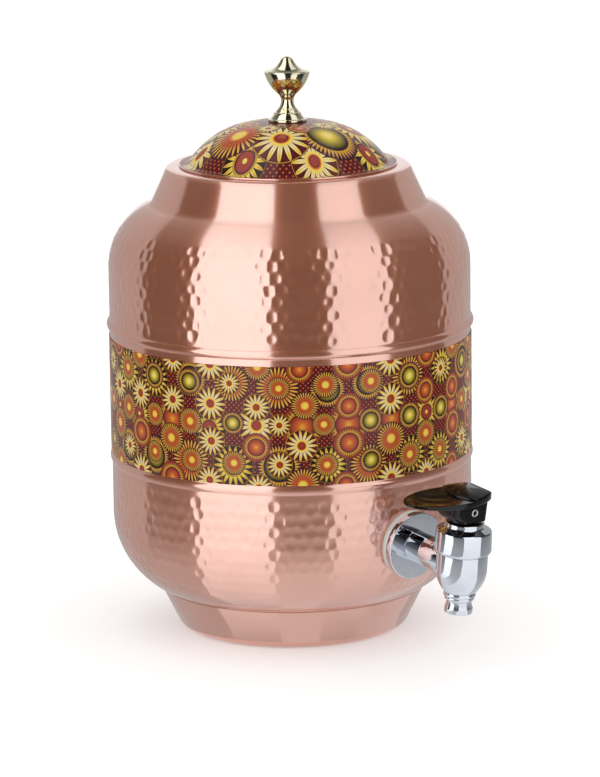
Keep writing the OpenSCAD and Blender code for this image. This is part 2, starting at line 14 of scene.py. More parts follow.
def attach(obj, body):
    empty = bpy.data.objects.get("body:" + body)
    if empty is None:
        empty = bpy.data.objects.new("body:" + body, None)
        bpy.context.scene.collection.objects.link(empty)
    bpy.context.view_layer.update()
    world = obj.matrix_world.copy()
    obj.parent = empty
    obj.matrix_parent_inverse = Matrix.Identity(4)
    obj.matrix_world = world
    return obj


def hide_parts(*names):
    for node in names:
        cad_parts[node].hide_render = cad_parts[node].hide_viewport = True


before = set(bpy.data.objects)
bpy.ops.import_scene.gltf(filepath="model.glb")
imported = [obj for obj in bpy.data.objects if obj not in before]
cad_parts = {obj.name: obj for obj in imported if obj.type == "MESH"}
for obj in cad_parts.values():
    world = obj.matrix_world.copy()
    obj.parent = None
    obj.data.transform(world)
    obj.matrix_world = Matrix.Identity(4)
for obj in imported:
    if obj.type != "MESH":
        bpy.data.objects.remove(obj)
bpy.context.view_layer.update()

LOG = logging.getLogger("dispenser")
MM = 0.001
TINY = 1e-5
Point = tuple[float, float]
Outline = list[Point]
Colour = tuple[float, float, float]
Socket = bpy.types.NodeSocket
Value = Union[float, Socket]

# Sizes that several pieces share, in millimetres

WALL_R = 94.3
WALL_H = 130.0
FLOOR_Z = 17.0
BOWL_R = 45.0
BOWL_Z = FLOOR_Z + BOWL_R
SHOULDER_R = 36.0
SHOULDER_Z = BOWL_Z + WALL_H
NECK_H = 52.1
RIM_Z = SHOULDER_Z + NECK_H
BAND: Point = (94.7, 156.0)
SHEET_T = 1.0
GAP = 0.05


class Body(Enum):
    """Bodies of the frame that carry dressed pieces."""

    ROOT = "root"
    LID = "lid"
    STEM = "stem"
    LEVER = "lever"


class Slot(Enum):
    """Material slots of the dressed pieces."""

    COPPER = "copper"
    FILM = "print_film"
    SHEET = "print_sheet"
    NICKEL = "nickel_brass"
    STEEL = "steel"
    SILICONE = "silicone"
    CHROME = "chrome"
    BLACK = "black_gloss"


# Outlines


def arc(centre: Point, radius: float, start: float, end: float, steps: int) -> Outline:
    """Points of a circle's arc.

    Args:
        centre: Middle of the circle.
        radius: Its radius.
        start: First angle in degrees.
        end: Last angle in degrees.
        steps: Number of chords.

    Returns:
        The arc's points, both ends included.
    """
    angles = [radians(start + (end - start) * i / steps) for i in range(steps + 1)]
    return [(centre[0] + radius * cos(a), centre[1] + radius * sin(a)) for a in angles]


def arc_from(start: Point, heading: float, end: Point, steps: int) -> Outline:
    """Arc that leaves a point in a given direction and ends at another.

    Args:
        start: First point.
        heading: Direction at the first point, in degrees.
        end: Last point.
        steps: Number of chords.

    Returns:
        The arc's points, both ends included.
    """
    side = (-sin(radians(heading)), cos(radians(heading)))
    dx, dy = end[0] - start[0], end[1] - start[1]
    radius = (dx * dx + dy * dy) / (2 * (dx * side[0] + dy * side[1]))
    centre = (start[0] + radius * side[0], start[1] + radius * side[1])
    a0 = degrees(atan2(start[1] - centre[1], start[0] - centre[0]))
    a1 = degrees(atan2(end[1] - centre[1], end[0] - centre[0]))
    turn = (a1 - a0 + 540) % 360 - 180
    return arc(centre, abs(radius), a0, a0 + turn, steps)


def softened(outline: Sequence[Point], radius: float, steps: int = 4, closed: bool = True) -> Outline:
    """Rounds the corners of an outline.

    Args:
        outline: Points of the outline.
        radius: How far from a corner the rounding starts.
        steps: Chords of each rounding.
        closed: Whether the last point joins the first.

    Returns:
        The outline with each sharp corner replaced by a short curve.
    """
    straight, longest = -0.94, 0.45
    count = len(outline)
    result: Outline = []
    for i, p in enumerate(outline):
        if not closed and i in (0, count - 1):
            result.append(p)
            continue
        a, b = outline[i - 1], outline[(i + 1) % count]
        la, lb = dist(a, p), dist(b, p)
        ua, ub = ((a[0] - p[0]) / la, (a[1] - p[1]) / la), ((b[0] - p[0]) / lb, (b[1] - p[1]) / lb)
        if ua[0] * ub[0] + ua[1] * ub[1] < straight or abs(p[0]) < TINY:
            result.append(p)
            continue
        da, db = min(radius, la * longest), min(radius, lb * longest)
        s, e = (p[0] + ua[0] * da, p[1] + ua[1] * da), (p[0] + ub[0] * db, p[1] + ub[1] * db)
        for k in range(steps + 1):
            t = k / steps
            w = ((1 - t) ** 2, 2 * t * (1 - t), t * t)
            result.append(tuple(w[0] * s[c] + w[1] * p[c] + w[2] * e[c] for c in (0, 1)))
    return result


def spaced(outline: Sequence[Point], step: Callable[[Point], float]) -> Outline:
    """Adds points to an open outline so that no chord is longer than a step.

    Args:
        outline: Points of the outline.
        step: Longest chord allowed at a point.

    Returns:
        The outline with the points added.
    """
    spare = 0.001
    result = [outline[0]]
    for a, b in zip(outline, outline[1:]):
        middle = ((a[0] + b[0]) / 2, (a[1] + b[1]) / 2)
        parts = max(1, ceil(dist(a, b) / step(middle) - spare))
        for k in range(1, parts + 1):
            result.append((a[0] + (b[0] - a[0]) * k / parts, a[1] + (b[1] - a[1]) * k / parts))
    return result


# Meshes


def link(name: str, mesh: bpy.types.Mesh, sharp: Optional[float] = 38) -> bpy.types.Object:
    """Puts a mesh into the scene with smooth faces.

    Args:
        name: Name of the piece.
        mesh: Its mesh, in metres.
        sharp: Angle in degrees above which an edge stays sharp, or None.

    Returns:
        The new object.
    """
    mesh.shade_smooth()
    if sharp is not None:
        mesh.set_sharp_from_angle(angle=radians(sharp))
    piece = bpy.data.objects.new(name, mesh)
    bpy.context.scene.collection.objects.link(piece)
    return piece


def lathe(outline: Sequence[Point], segments: int, place: Matrix = Matrix.Identity(4)) -> bpy.types.Mesh:
    """Turns an outline about the z axis.

    Args:
        outline: Radius and height in millimetres, a closed loop or a line from axis to axis.
        segments: Faces around the axis.
        place: Where the turned piece stands, in millimetres.

    Returns:
        A closed mesh in metres with its faces outwards.
    """
    pts = [p for i, p in enumerate(outline) if dist(p, outline[i - 1]) > TINY]
    area = sum(pts[i - 1][0] * p[1] - p[0] * pts[i - 1][1] for i, p in enumerate(pts))
    if area < 0:
        pts.reverse()
    turn = np.linspace(0, 2 * pi, segments, endpoint=False)
    ring = np.stack([np.cos(turn), np.sin(turn)], 1)
    verts: list[np.ndarray] = []
    first: list[int] = []
    total = 0
    for r, z in pts:
        pole = abs(r) < TINY
        rows = np.array([[0.0, 0.0, z]]) if pole else np.column_stack([ring * r, np.full(segments, z)])
        first.append(total)
        verts.append(rows)
        total += len(rows)
    faces: list[tuple[int, ...]] = []
    for i in range(len(pts)):
        j = (i + 1) % len(pts)
        a, b = first[i], first[j]
        pole_a, pole_b = abs(pts[i][0]) < TINY, abs(pts[j][0]) < TINY
        if pole_a and pole_b:
            continue
        for k in range(segments):
            n = (k + 1) % segments
            if pole_a:
                faces.append((a, b + n, b + k))
            elif pole_b:
                faces.append((a + k, a + n, b))
            else:
                faces.append((a + k, a + n, b + n, b + k))
    mesh = bpy.data.meshes.new("turned")
    mesh.from_pydata(np.concatenate(verts).tolist(), [], faces)
    mesh.transform(Matrix.Scale(MM, 4) @ place)
    return mesh


def joined(name: str, meshes: Sequence[bpy.types.Mesh], sharp: Optional[float] = 38) -> bpy.types.Object:
    """Makes one piece of several closed meshes.

    Args:
        name: Name of the piece.
        meshes: The meshes, in metres.
        sharp: Angle in degrees above which an edge stays sharp, or None.

    Returns:
        The new object.
    """
    bm = bmesh.new()
    for mesh in meshes:
        bm.from_mesh(mesh)
    result = bpy.data.meshes.new(name)
    bm.to_mesh(result)
    bm.free()
    return link(name, result, sharp)


def baked(piece: bpy.types.Object) -> bpy.types.Object:
    """Turns a piece's modifiers into plain mesh.

    Args:
        piece: Object with live modifiers.

    Returns:
        The same object, with a plain mesh and no modifiers.
    """
    graph = bpy.context.evaluated_depsgraph_get()
    graph.update()
    mesh = bpy.data.meshes.new_from_object(piece.evaluated_get(graph))
    piece.modifiers.clear()
    piece.data = mesh
    return piece


def seat(piece: bpy.types.Object, body: Body, slot: Slot, finish: bpy.types.Material, *nodes: str) -> None:
    """Gives a piece its finish and hands it to the frame.

    Args:
        piece: The finished piece.
        body: Body that it moves with.
        slot: Not used.
        finish: Its material.
        *nodes: CAD nodes that it stands for.
    """
    piece.data.materials.clear()
    piece.data.materials.append(finish)
    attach(piece, body.value)
    if nodes:
        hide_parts(*nodes)
    LOG.info("%s on %s, %d faces", piece.name, body.value, len(piece.data.polygons))


def paint_node(node: str, finish: bpy.types.Material) -> None:
    """Gives a CAD node that stays in sight its finish.

    Args:
        node: Name of the CAD node.
        finish: Its material.
    """
    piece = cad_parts[node]
    if piece.material_slots:
        for holder in piece.material_slots:
            holder.material = finish
    else:
        piece.data.materials.append(finish)
    LOG.info("%s keeps its CAD shape", node)


# Shader building


class Shading:
    """Adds nodes to one material and wires them."""

    def __init__(self, name: str) -> None:
        """Starts an empty material of that name.

        Args:
            name: Name of the material.
        """
        self.material = bpy.data.materials.new(name)
        self.material.use_nodes = True
        self.tree = self.material.node_tree
        self.tree.nodes.clear()
        self.out = self.tree.nodes.new("ShaderNodeOutputMaterial")

    def set(self, socket: Socket, value: object) -> None:
        """Links a socket to another one, or sets its own value.

        Args:
            socket: Socket to set.
            value: Socket to link from, or a plain value.
        """
        if isinstance(value, bpy.types.NodeSocket):
            self.tree.links.new(value, socket)
        elif socket.type == "RGBA" and len(value) == 3:
            socket.default_value = (*value, 1.0)
        else:
            socket.default_value = value

    def math(self, operation: str, a: Value, b: Value = 0.0, c: Value = 0.0) -> Socket:
        """One Math node's result.

        Args:
            operation: What the node does.
            a: First input.
            b: Second input.
            c: Third input.

        Returns:
            The result.
        """
        node = self.tree.nodes.new("ShaderNodeMath")
        node.operation = operation
        for socket, value in zip(node.inputs, (a, b, c)):
            self.set(socket, value)
        return node.outputs[0]

    def between(self, value: Value, low: float, high: float, to_low: float = 0.0,
                to_high: float = 1.0) -> Socket:
        """Value mapped smoothly from one range to another.

        Args:
            value: Value to map.
            low: Start of its range.
            high: End of its range.
            to_low: Result at the start.
            to_high: Result at the end.

        Returns:
            The mapped value.
        """
        node = self.tree.nodes.new("ShaderNodeMapRange")
        node.interpolation_type = "SMOOTHSTEP"
        for socket, item in zip(node.inputs, (value, low, high, to_low, to_high)):
            self.set(socket, item)
        return node.outputs[0]

    def length(self, x: Value, y: Value) -> Socket:
        """Length of a flat vector."""
        return self.math("SQRT", self.math("ADD", self.math("MULTIPLY", x, x), self.math("MULTIPLY", y, y)))

    def mix(self, share: Value, a: object, b: object) -> Socket:
        """Two colours mixed by a share.

        Args:
            share: How much of the second colour shows.
            a: First colour.
            b: Second colour.

        Returns:
            The mixed colour.
        """
        node = self.tree.nodes.new("ShaderNodeMix")
        node.data_type = "RGBA"
        for socket, value in zip((node.inputs[0], node.inputs[6], node.inputs[7]), (share, a, b)):
            self.set(socket, value)
        return node.outputs[2]

    def ramp(self, value: Value, stops: Sequence[tuple[float, Colour]], step: bool = False) -> Socket:
        """Colour picked from a list of stops.

        Args:
            value: Place along the stops.
            stops: Places and their colours.
            step: Whether the colours change without a blend.

        Returns:
            The colour.
        """
        node = self.tree.nodes.new("ShaderNodeValToRGB")
        node.color_ramp.interpolation = "CONSTANT" if step else "LINEAR"
        items = node.color_ramp.elements
        while len(items) < len(stops):
            items.new(0.5)
        for item, (place, colour) in zip(items, stops):
            item.position = place
            item.color = (*colour, 1.0)
        self.set(node.inputs[0], value)
        return node.outputs[0]

    def object_coords(self) -> Socket:
        """Object coordinates, in metres."""
        return self.tree.nodes.new("ShaderNodeTexCoord").outputs["Object"]

    def split(self, vector: Socket) -> tuple[Socket, Socket, Socket]:
        """The three parts of a vector.

        Args:
            vector: Vector to split.

        Returns:
            Its x, y and z.
        """
        node = self.tree.nodes.new("ShaderNodeSeparateXYZ")
        self.set(node.inputs[0], vector)
        return node.outputs[0], node.outputs[1], node.outputs[2]

    def vector(self, x: Value, y: Value, z: Value) -> Socket:
        """A vector of three parts.

        Args:
            x: First part.
            y: Second part.
            z: Third part.

        Returns:
            The vector.
        """
        node = self.tree.nodes.new("ShaderNodeCombineXYZ")
        for socket, value in zip(node.inputs, (x, y, z)):
            self.set(socket, value)
        return node.outputs[0]

    def noise(self, at: Socket, scale: float, detail: float = 3.0, rough: float = 0.55) -> Socket:
        """Noise from 0 to 1.

        Args:
            at: Where the noise is read.
            scale: Its waves for each metre.
            detail: Number of finer layers.
            rough: Strength of the finer layers.

        Returns:
            The noise.
        """
        node = self.tree.nodes.new("ShaderNodeTexNoise")
        self.set(node.inputs["Vector"], at)
        node.inputs["Scale"].default_value = scale
        node.inputs["Detail"].default_value = detail
        node.inputs["Roughness"].default_value = rough
        return node.outputs["Fac"]

    def bump(self, height: Socket, depth: float, strength: float = 1.0) -> Socket:
        """Normal from a height, with its depth in metres.

        Args:
            height: Height of the surface.
            depth: Depth of a whole step, in metres.
            strength: Share of the effect.

        Returns:
            The normal.
        """
        node = self.tree.nodes.new("ShaderNodeBump")
        node.inputs["Strength"].default_value = strength
        node.inputs["Distance"].default_value = depth
        self.set(node.inputs["Height"], height)
        return node.outputs[0]

    def surface(self, **inputs: object) -> bpy.types.Material:
        """Ends the material in a Principled surface.

        Args:
            **inputs: Socket names with underscores, and their values.

        Returns:
            The finished material.
        """
        node = self.tree.nodes.new("ShaderNodeBsdfPrincipled")
        for name, value in inputs.items():
            self.set(node.inputs[name.replace("_", " ")], value)
        self.tree.links.new(node.outputs[0], self.out.inputs[0])
        return self.material


# Finishes


@dataclass(frozen=True)
class CopperFinish:
    """Lacquered pink copper with faint turning marks and cloudy tone."""

    tone: Colour = (0.70, 0.245, 0.135)
    deep: Colour = (0.66, 0.22, 0.115)
    pale: Colour = (0.73, 0.275, 0.16)
    rough: float = 0.18
    spread: float = 0.06
    metal: float = 0.58
    lacquer: float = 3.25
    haze: float = 0.11
    cloud_scale: float = 38.0
    mark_scale: float = 1900.0
    mark_stretch: float = 0.012
    grain_scale: float = 900.0
    relief: float = 0.00001

    def make(self) -> bpy.types.Material:
        """The copper material.

        Returns:
            The finished material.
        """
        s = Shading("lacquered copper")
        at = s.object_coords()
        cloud = s.noise(at, self.cloud_scale, detail=4, rough=0.6)
        tone = s.ramp(cloud, [(0.3, self.deep), (0.5, self.tone), (0.72, self.pale)])
        x, y, z = s.split(at)
        around = s.math("ARCTAN2", x, y)
        stretched = s.vector(s.math("MULTIPLY", around, self.mark_stretch), 0.0, z)
        marks = s.noise(stretched, self.mark_scale, detail=2)
        grain = s.noise(at, self.grain_scale)
        rough = s.math("MULTIPLY_ADD", grain, self.spread, self.rough)
        height = s.math("ADD", s.math("MULTIPLY", marks, 0.5), s.math("MULTIPLY", grain, 0.5))
        return s.surface(
            Base_Color=tone, Metallic=self.metal, Roughness=rough,
            Normal=s.bump(height, self.relief, strength=0.2),
            Coat_Weight=1.0, Coat_Roughness=self.haze, Coat_IOR=self.lacquer,
        )


@dataclass(frozen=True)
class Rosette:
    """One printed rosette: rings under a crown of petals."""

    petals: int
    inner: float
    outer: float
    rings: tuple[tuple[float, Colour], ...]
    crown: tuple[tuple[float, Colour], ...]
    domed: bool = False


MAROON: Colour = (0.105, 0.010, 0.014)
PLUM: Colour = (0.040, 0.010, 0.018)
BROWN: Colour = (0.022, 0.009, 0.006)
OLIVE: Colour = (0.33, 0.25, 0.022)
GOLD: Colour = (0.74, 0.40, 0.040)
LEMON: Colour = (0.86, 0.64, 0.085)
ORANGE: Colour = (0.62, 0.13, 0.022)
BRICK: Colour = (0.33, 0.038, 0.022)
IVORY: Colour = (0.88, 0.74, 0.36)
ROSE: Colour = (0.50, 0.15, 0.10)

STAR = Rosette(
    18, 0.50, 0.94, ((0, LEMON), (0.10, BRICK), (0.36, MAROON), (0.44, GOLD), (0.48, BROWN), (0.95, OLIVE)),
    ((0, GOLD), (0.62, LEMON), (0.80, GOLD)),
)
SUN = Rosette(
    30, 0.40, 0.97, ((0, LEMON), (0.22, GOLD), (0.27, ORANGE), (0.36, BRICK), (0.42, MAROON), (0.97, BRICK)),
    ((0, BRICK), (0.55, ORANGE), (0.85, LEMON)),
)
DAISY = Rosette(
    15, 0.38, 0.96, ((0, BRICK), (0.18, MAROON), (0.22, ORANGE), (0.28, LEMON), (0.38, MAROON), (0.95, GOLD)),
    ((0, GOLD), (0.55, IVORY), (0.78, LEMON)),
)
OLIVE_DOME = Rosette(
    40, 0.70, 0.97, ((0, IVORY), (0.16, LEMON), (0.42, OLIVE), (0.62, BROWN), (0.70, PLUM), (0.97, PLUM)),
    ((0, ORANGE), (0.80, GOLD), (0.95, ROSE)), domed=True,
)
AMBER_DOME = Rosette(
    34, 0.62, 0.95, ((0, GOLD), (0.20, ORANGE), (0.48, BRICK), (0.60, MAROON), (0.64, BROWN), (0.97, BRICK)),
    ((0, OLIVE), (0.70, GOLD), (0.90, BRICK)), domed=True,
)


@dataclass(frozen=True)
class BandLayer:
    """One layer of the band's rosettes.

    It is shifted by shares of a column and of a third of the band's height, with rows some thirds apart.
    """

    across: float
    up: float
    thirds: int
    radius: float
    kinds: tuple[Rosette, ...]


@dataclass(frozen=True)
class LidRing:
    """One ring of the lid's rosettes, turned by a share of a step and at a distance from the knob."""

    turn: float
    reach: float
    radius: float
    kinds: tuple[Rosette, ...]


@dataclass(frozen=True)
class RosettePrint:
    """Gloss-coated print of rosettes over fine specks, from shader nodes alone."""

    name: str
    gloss: float = 0.05
    speck_edge: Point = (0.5, 0.75)
    petal_power: float = 0.8
    petal_edge: Point = (-0.012, 0.030)
    vein_from: float = 0.86
    vein_share: float = 0.35
    border: Point = (0.955, 0.985)
    grain_scale: float = 2600.0
    ripple_scale: float = 60.0
    ripple: float = 0.00008

    def ground(self, s: Shading, u: Socket, v: Socket, pitch_u: float, pitch_v: float) -> Socket:
        """Dark ground with rows of specks.

        Args:
            s: The material's nodes.
            u: Place along the rows.
            v: Place across them.
            pitch_u: Waves of specks for each unit of u.
            pitch_v: Waves of specks for each unit of v.

        Returns:
            The ground's colour.
        """
        speck = s.math("SINE", s.math("MULTIPLY", u, pitch_u))
        speck = s.math("MULTIPLY", speck, s.math("SINE", s.math("MULTIPLY", v, pitch_v)))
        return s.mix(s.between(speck, *self.speck_edge), MAROON, ORANGE)

    def chance(self, s: Shading, u: Value, v: Value, number: float) -> Socket:
        """A fixed random number for each cell of the print.

        Args:
            s: The material's nodes.
            u: Column of the cell.
            v: Row of the cell.
            number: Number of the draw.

        Returns:
            A number from 0 to 1.
        """
        node = s.tree.nodes.new("ShaderNodeTexWhiteNoise")
        node.noise_dimensions = "3D"
        s.set(node.inputs["Vector"], s.vector(u, v, number))
        return node.outputs["Value"]

    def laid(self, s: Shading, under: Socket, x: Socket, y: Socket, radius: Value, pick: Socket,
             kinds: Sequence[Rosette]) -> Socket:
        """Lays one layer of rosettes over what is under it.

        Args:
            s: The material's nodes.
            under: Colour below.
            x: Distance from the nearest rosette's middle, in millimetres.
            y: The other distance.
            radius: Radius of the rosettes in millimetres.
            pick: Whole number that picks the kind.
            kinds: Kinds to pick from.

        Returns:
            The colour with the layer on it.
        """
        picked = [s.math("COMPARE", pick, float(number), 0.2) for number in range(len(kinds))]

        def number(values: Sequence[float]) -> Value:
            """The picked kind's number among those of all kinds.

            Args:
                values: One number for each kind.

            Returns:
                The number of the kind that was picked.
            """
            total: Value = 0.0
            for share, value in zip(picked, values):
                total = s.math("MULTIPLY_ADD", share, float(value), total)
            return total

        far = s.math("DIVIDE", s.length(x, y), radius)
        rings = s.ramp(far, kinds[0].rings, step=not kinds[0].domed)
        crown = s.ramp(far, kinds[0].crown)
        for share, kind in zip(picked[1:], kinds[1:]):
            rings = s.mix(share, rings, s.ramp(far, kind.rings, step=not kind.domed))
            crown = s.mix(share, crown, s.ramp(far, kind.crown))
        petals, inner = number([k.petals for k in kinds]), number([k.inner for k in kinds])
        wave = s.math("COSINE", s.math("MULTIPLY", s.math("ARCTAN2", y, x), petals))
        tip = s.math("POWER", s.math("MULTIPLY_ADD", wave, 0.5, 0.5), self.petal_power)
        edge = s.math("MULTIPLY_ADD", tip, number([k.outer - k.inner for k in kinds]), inner)
        inside = s.between(s.math("SUBTRACT", edge, far), *self.petal_edge)
        petal = s.math("MULTIPLY", inside, s.math("GREATER_THAN", far, inner))
        vein = s.math("MULTIPLY", s.between(s.math("ABSOLUTE", wave), self.vein_from, 1.0), self.vein_share)
        colour = s.mix(petal, rings, s.mix(vein, crown, BRICK))
        colour = s.mix(s.between(far, *self.border), colour, BROWN)
        return s.mix(s.between(far, 1.0, self.border[1]), under, colour)

    def ended(self, s: Shading, colour: Socket, at: Socket) -> bpy.types.Material:
        """Adds print grain and the clear gloss.

        Args:
            s: The material's nodes.
            colour: Colour of the print.
            at: Object coordinates.

        Returns:
            The finished material.
        """
        grain = s.noise(at, self.grain_scale, detail=2)
        cloud = s.noise(at, self.ripple_scale)
        colour = s.mix(s.math("MULTIPLY", grain, 0.16), colour, BROWN)
        ripple = s.bump(cloud, self.ripple, strength=0.25)
        rough = s.math("MULTIPLY_ADD", grain, 0.14, 0.26)
        return s.surface(
            Base_Color=colour, Roughness=rough, Coat_Weight=0.4, Coat_Roughness=self.gloss,
            Coat_Normal=ripple, Specular_IOR_Level=0.08,
        )


@dataclass(frozen=True)
class BandPrint(RosettePrint):
    """Rows of rosettes around the wall."""

    name: str = "printed band"
    columns: int = 25
    radius: float = 94.8
    smallest: float = 0.8
    layers: tuple[BandLayer, ...] = (
        BandLayer(0.5, 0.0, 2, 11.8, (SUN, OLIVE_DOME, STAR)),
        BandLayer(0.0, 1.0, 2, 11.6, (STAR, DAISY, AMBER_DOME)),
        BandLayer(0.0, 0.52, 1, 8.8, (DAISY, SUN, AMBER_DOME)),
        BandLayer(0.5, 0.03, 1, 7.2, (OLIVE_DOME, SUN, DAISY)),
    )

    def make(self) -> bpy.types.Material:
        """The band's material.

        Returns:
            The finished material.
        """
        s = Shading(self.name)
        at = s.object_coords()
        x, y, z = s.split(at)
        pitch = 2 * pi * self.radius / self.columns
        third = (BAND[1] - BAND[0]) / 3
        turn = s.math("ARCTAN2", x, s.math("MULTIPLY", y, -1.0))
        u = s.math("MULTIPLY_ADD", turn, self.radius, pi * self.radius)
        v = s.math("MULTIPLY_ADD", z, 1 / MM, -BAND[0])
        colour = self.ground(s, u, v, 2.4, 2.4)
        for number, layer in enumerate(self.layers):
            rise = third * layer.thirds
            cu = s.math("DIVIDE", s.math("SUBTRACT", u, layer.across * pitch), pitch)
            cv = s.math("DIVIDE", s.math("SUBTRACT", v, (layer.up + 0.5) * third), rise)
            near_u, near_v = s.math("ROUND", cu), s.math("ROUND", cv)
            cell = s.math("FLOORED_MODULO", near_u, float(self.columns))
            small, slip_u, slip_v, kind = (self.chance(s, cell, near_v, number + k / 8) for k in range(4))
            radius = s.between(small, 0.0, 1.0, self.smallest * layer.radius, layer.radius)
            slack = s.math("MULTIPLY", s.math("SUBTRACT", layer.radius, radius), 2.0)
            lx = s.math("MULTIPLY", s.math("SUBTRACT", cu, near_u), pitch)
            lx = s.math("ADD", lx, s.math("MULTIPLY", s.math("SUBTRACT", slip_u, 0.5), slack))
            ly = s.math("MULTIPLY", s.math("SUBTRACT", cv, near_v), rise)
            ly = s.math("ADD", ly, s.math("MULTIPLY", s.math("SUBTRACT", slip_v, 0.5), slack))
            pick = s.math("FLOOR", s.math("MULTIPLY", kind, float(len(layer.kinds))))
            colour = self.laid(s, colour, lx, ly, radius, pick, layer.kinds)
        return self.ended(s, colour, at)


@dataclass(frozen=True)
class LidPrint(RosettePrint):
    """Rings of rosettes around the knob."""

    name: str = "printed lid"
    count: int = 8
    rings: tuple[LidRing, ...] = (
        LidRing(0.5, 46.5, 12.5, (STAR, DAISY)),
        LidRing(0.0, 32.0, 15.5, (SUN, DAISY, OLIVE_DOME, STAR)),
        LidRing(0.5, 21.0, 6.4, (DAISY, AMBER_DOME)),
    )

    def make(self) -> bpy.types.Material:
        """The lid's material.

        Returns:
            The finished material.
        """
        s = Shading(self.name)
        at = s.object_coords()
        x, y, _ = s.split(at)
        px, py = s.math("MULTIPLY", x, 1 / MM), s.math("MULTIPLY", y, 1 / MM)
        far = s.length(px, py)
        turn = s.math("ARCTAN2", py, px)
        colour = self.ground(s, turn, far, 96.0, 2.2)
        step = 2 * pi / self.count
        for ring in self.rings:
            cell = s.math("SUBTRACT", s.math("DIVIDE", turn, step), ring.turn)
            near = s.math("ROUND", cell)
            off = s.math("MULTIPLY", s.math("SUBTRACT", cell, near), step)
            lx = s.math("SUBTRACT", s.math("MULTIPLY", far, s.math("COSINE", off)), ring.reach)
            ly = s.math("MULTIPLY", far, s.math("SINE", off))
            pick = s.math("FLOORED_MODULO", near, float(len(ring.kinds)))
            colour = self.laid(s, colour, lx, ly, ring.radius, pick, ring.kinds)
        return self.ended(s, colour, at)


@dataclass(frozen=True)
class PolishedMetal:
    """Bright metal with faint waves of casting and polishing."""

    name: str
    tone: Colour
    shade: Colour
    rough: float
    wave: float = 0.00003
    spread: float = 0.06
    cloud_scale: float = 120.0
    grain_scale: float = 1500.0

    def make(self) -> bpy.types.Material:
        """The metal's material.

        Returns:
            The finished material.
        """
        s = Shading(self.name)
        at = s.object_coords()
        cloud = s.noise(at, self.cloud_scale)
        grain = s.noise(at, self.grain_scale)
        tone = s.mix(s.between(cloud, 0.35, 0.7), self.tone, self.shade)
        rough = s.math("MULTIPLY_ADD", grain, self.spread, self.rough)
        normal = s.bump(cloud, self.wave, strength=0.5)
        return s.surface(Base_Color=tone, Metallic=1.0, Roughness=rough, Normal=normal)


@dataclass(frozen=True)
class Moulding:
    """Moulded plastic or rubber with a fine grain."""

    name: str
    tone: Colour
    shade: Colour
    rough: float
    soft: float = 0.0
    grain: float = 0.3
    shine: float = 0.5
    spread: float = 0.10
    relief: float = 0.00002
    depth: float = 0.002
    cloud_scale: float = 90.0
    grain_scale: float = 1300.0

    def make(self) -> bpy.types.Material:
        """The moulding's material.

        Returns:
            The finished material.
        """
        s = Shading(self.name)
        at = s.object_coords()
        cloud = s.noise(at, self.cloud_scale, detail=4)
        grain = s.noise(at, self.grain_scale)
        tone = s.mix(s.between(cloud, 0.3, 0.7), self.tone, self.shade)
        rough = s.math("MULTIPLY_ADD", grain, self.spread, self.rough)
        return s.surface(
            Base_Color=tone, Roughness=rough, Normal=s.bump(grain, self.relief, self.grain),
            Specular_IOR_Level=self.shine, Subsurface_Weight=self.soft, Subsurface_Scale=self.depth,
        )


@dataclass(frozen=True)
class Finishes:
    """All materials of the part."""

    copper: bpy.types.Material
    band: bpy.types.Material
    lid: bpy.types.Material
    nickel: bpy.types.Material
    chrome: bpy.types.Material
    steel: bpy.types.Material
    brass: bpy.types.Material
    silicone: bpy.types.Material
    rubber: bpy.types.Material
    nylon: bpy.types.Material
    black: bpy.types.Material

    @staticmethod
    def make() -> "Finishes":
        """Builds every material once.

        Returns:
            The set of materials.
        """
        return Finishes(
            copper=CopperFinish().make(),
            band=BandPrint().make(),
            lid=LidPrint().make(),
            nickel=PolishedMetal("nickel brass", (0.82, 0.77, 0.58), (0.70, 0.64, 0.44), 0.07).make(),
            chrome=PolishedMetal(
                "bright chrome", (0.68, 0.71, 0.77), (0.62, 0.65, 0.71), 0.012,
                wave=0.000006, spread=0.02).make(),
            steel=PolishedMetal("plain steel", (0.55, 0.56, 0.58), (0.44, 0.45, 0.47), 0.22).make(),
            brass=PolishedMetal("turned brass", (0.66, 0.49, 0.20), (0.54, 0.38, 0.14), 0.20).make(),
            silicone=Moulding(
                "milky silicone", (0.78, 0.77, 0.74), (0.70, 0.69, 0.66), 0.32, soft=0.25).make(),
            rubber=Moulding("black rubber", (0.022, 0.022, 0.023), (0.030, 0.029, 0.028), 0.55).make(),
            nylon=Moulding("white nylon", (0.76, 0.76, 0.73), (0.68, 0.68, 0.65), 0.42).make(),
            black=Moulding(
                "black gloss", (0.004, 0.004, 0.004), (0.006, 0.005, 0.005), 0.04,
                grain=0.05, shine=0.30).make(),
        )


# Vessel


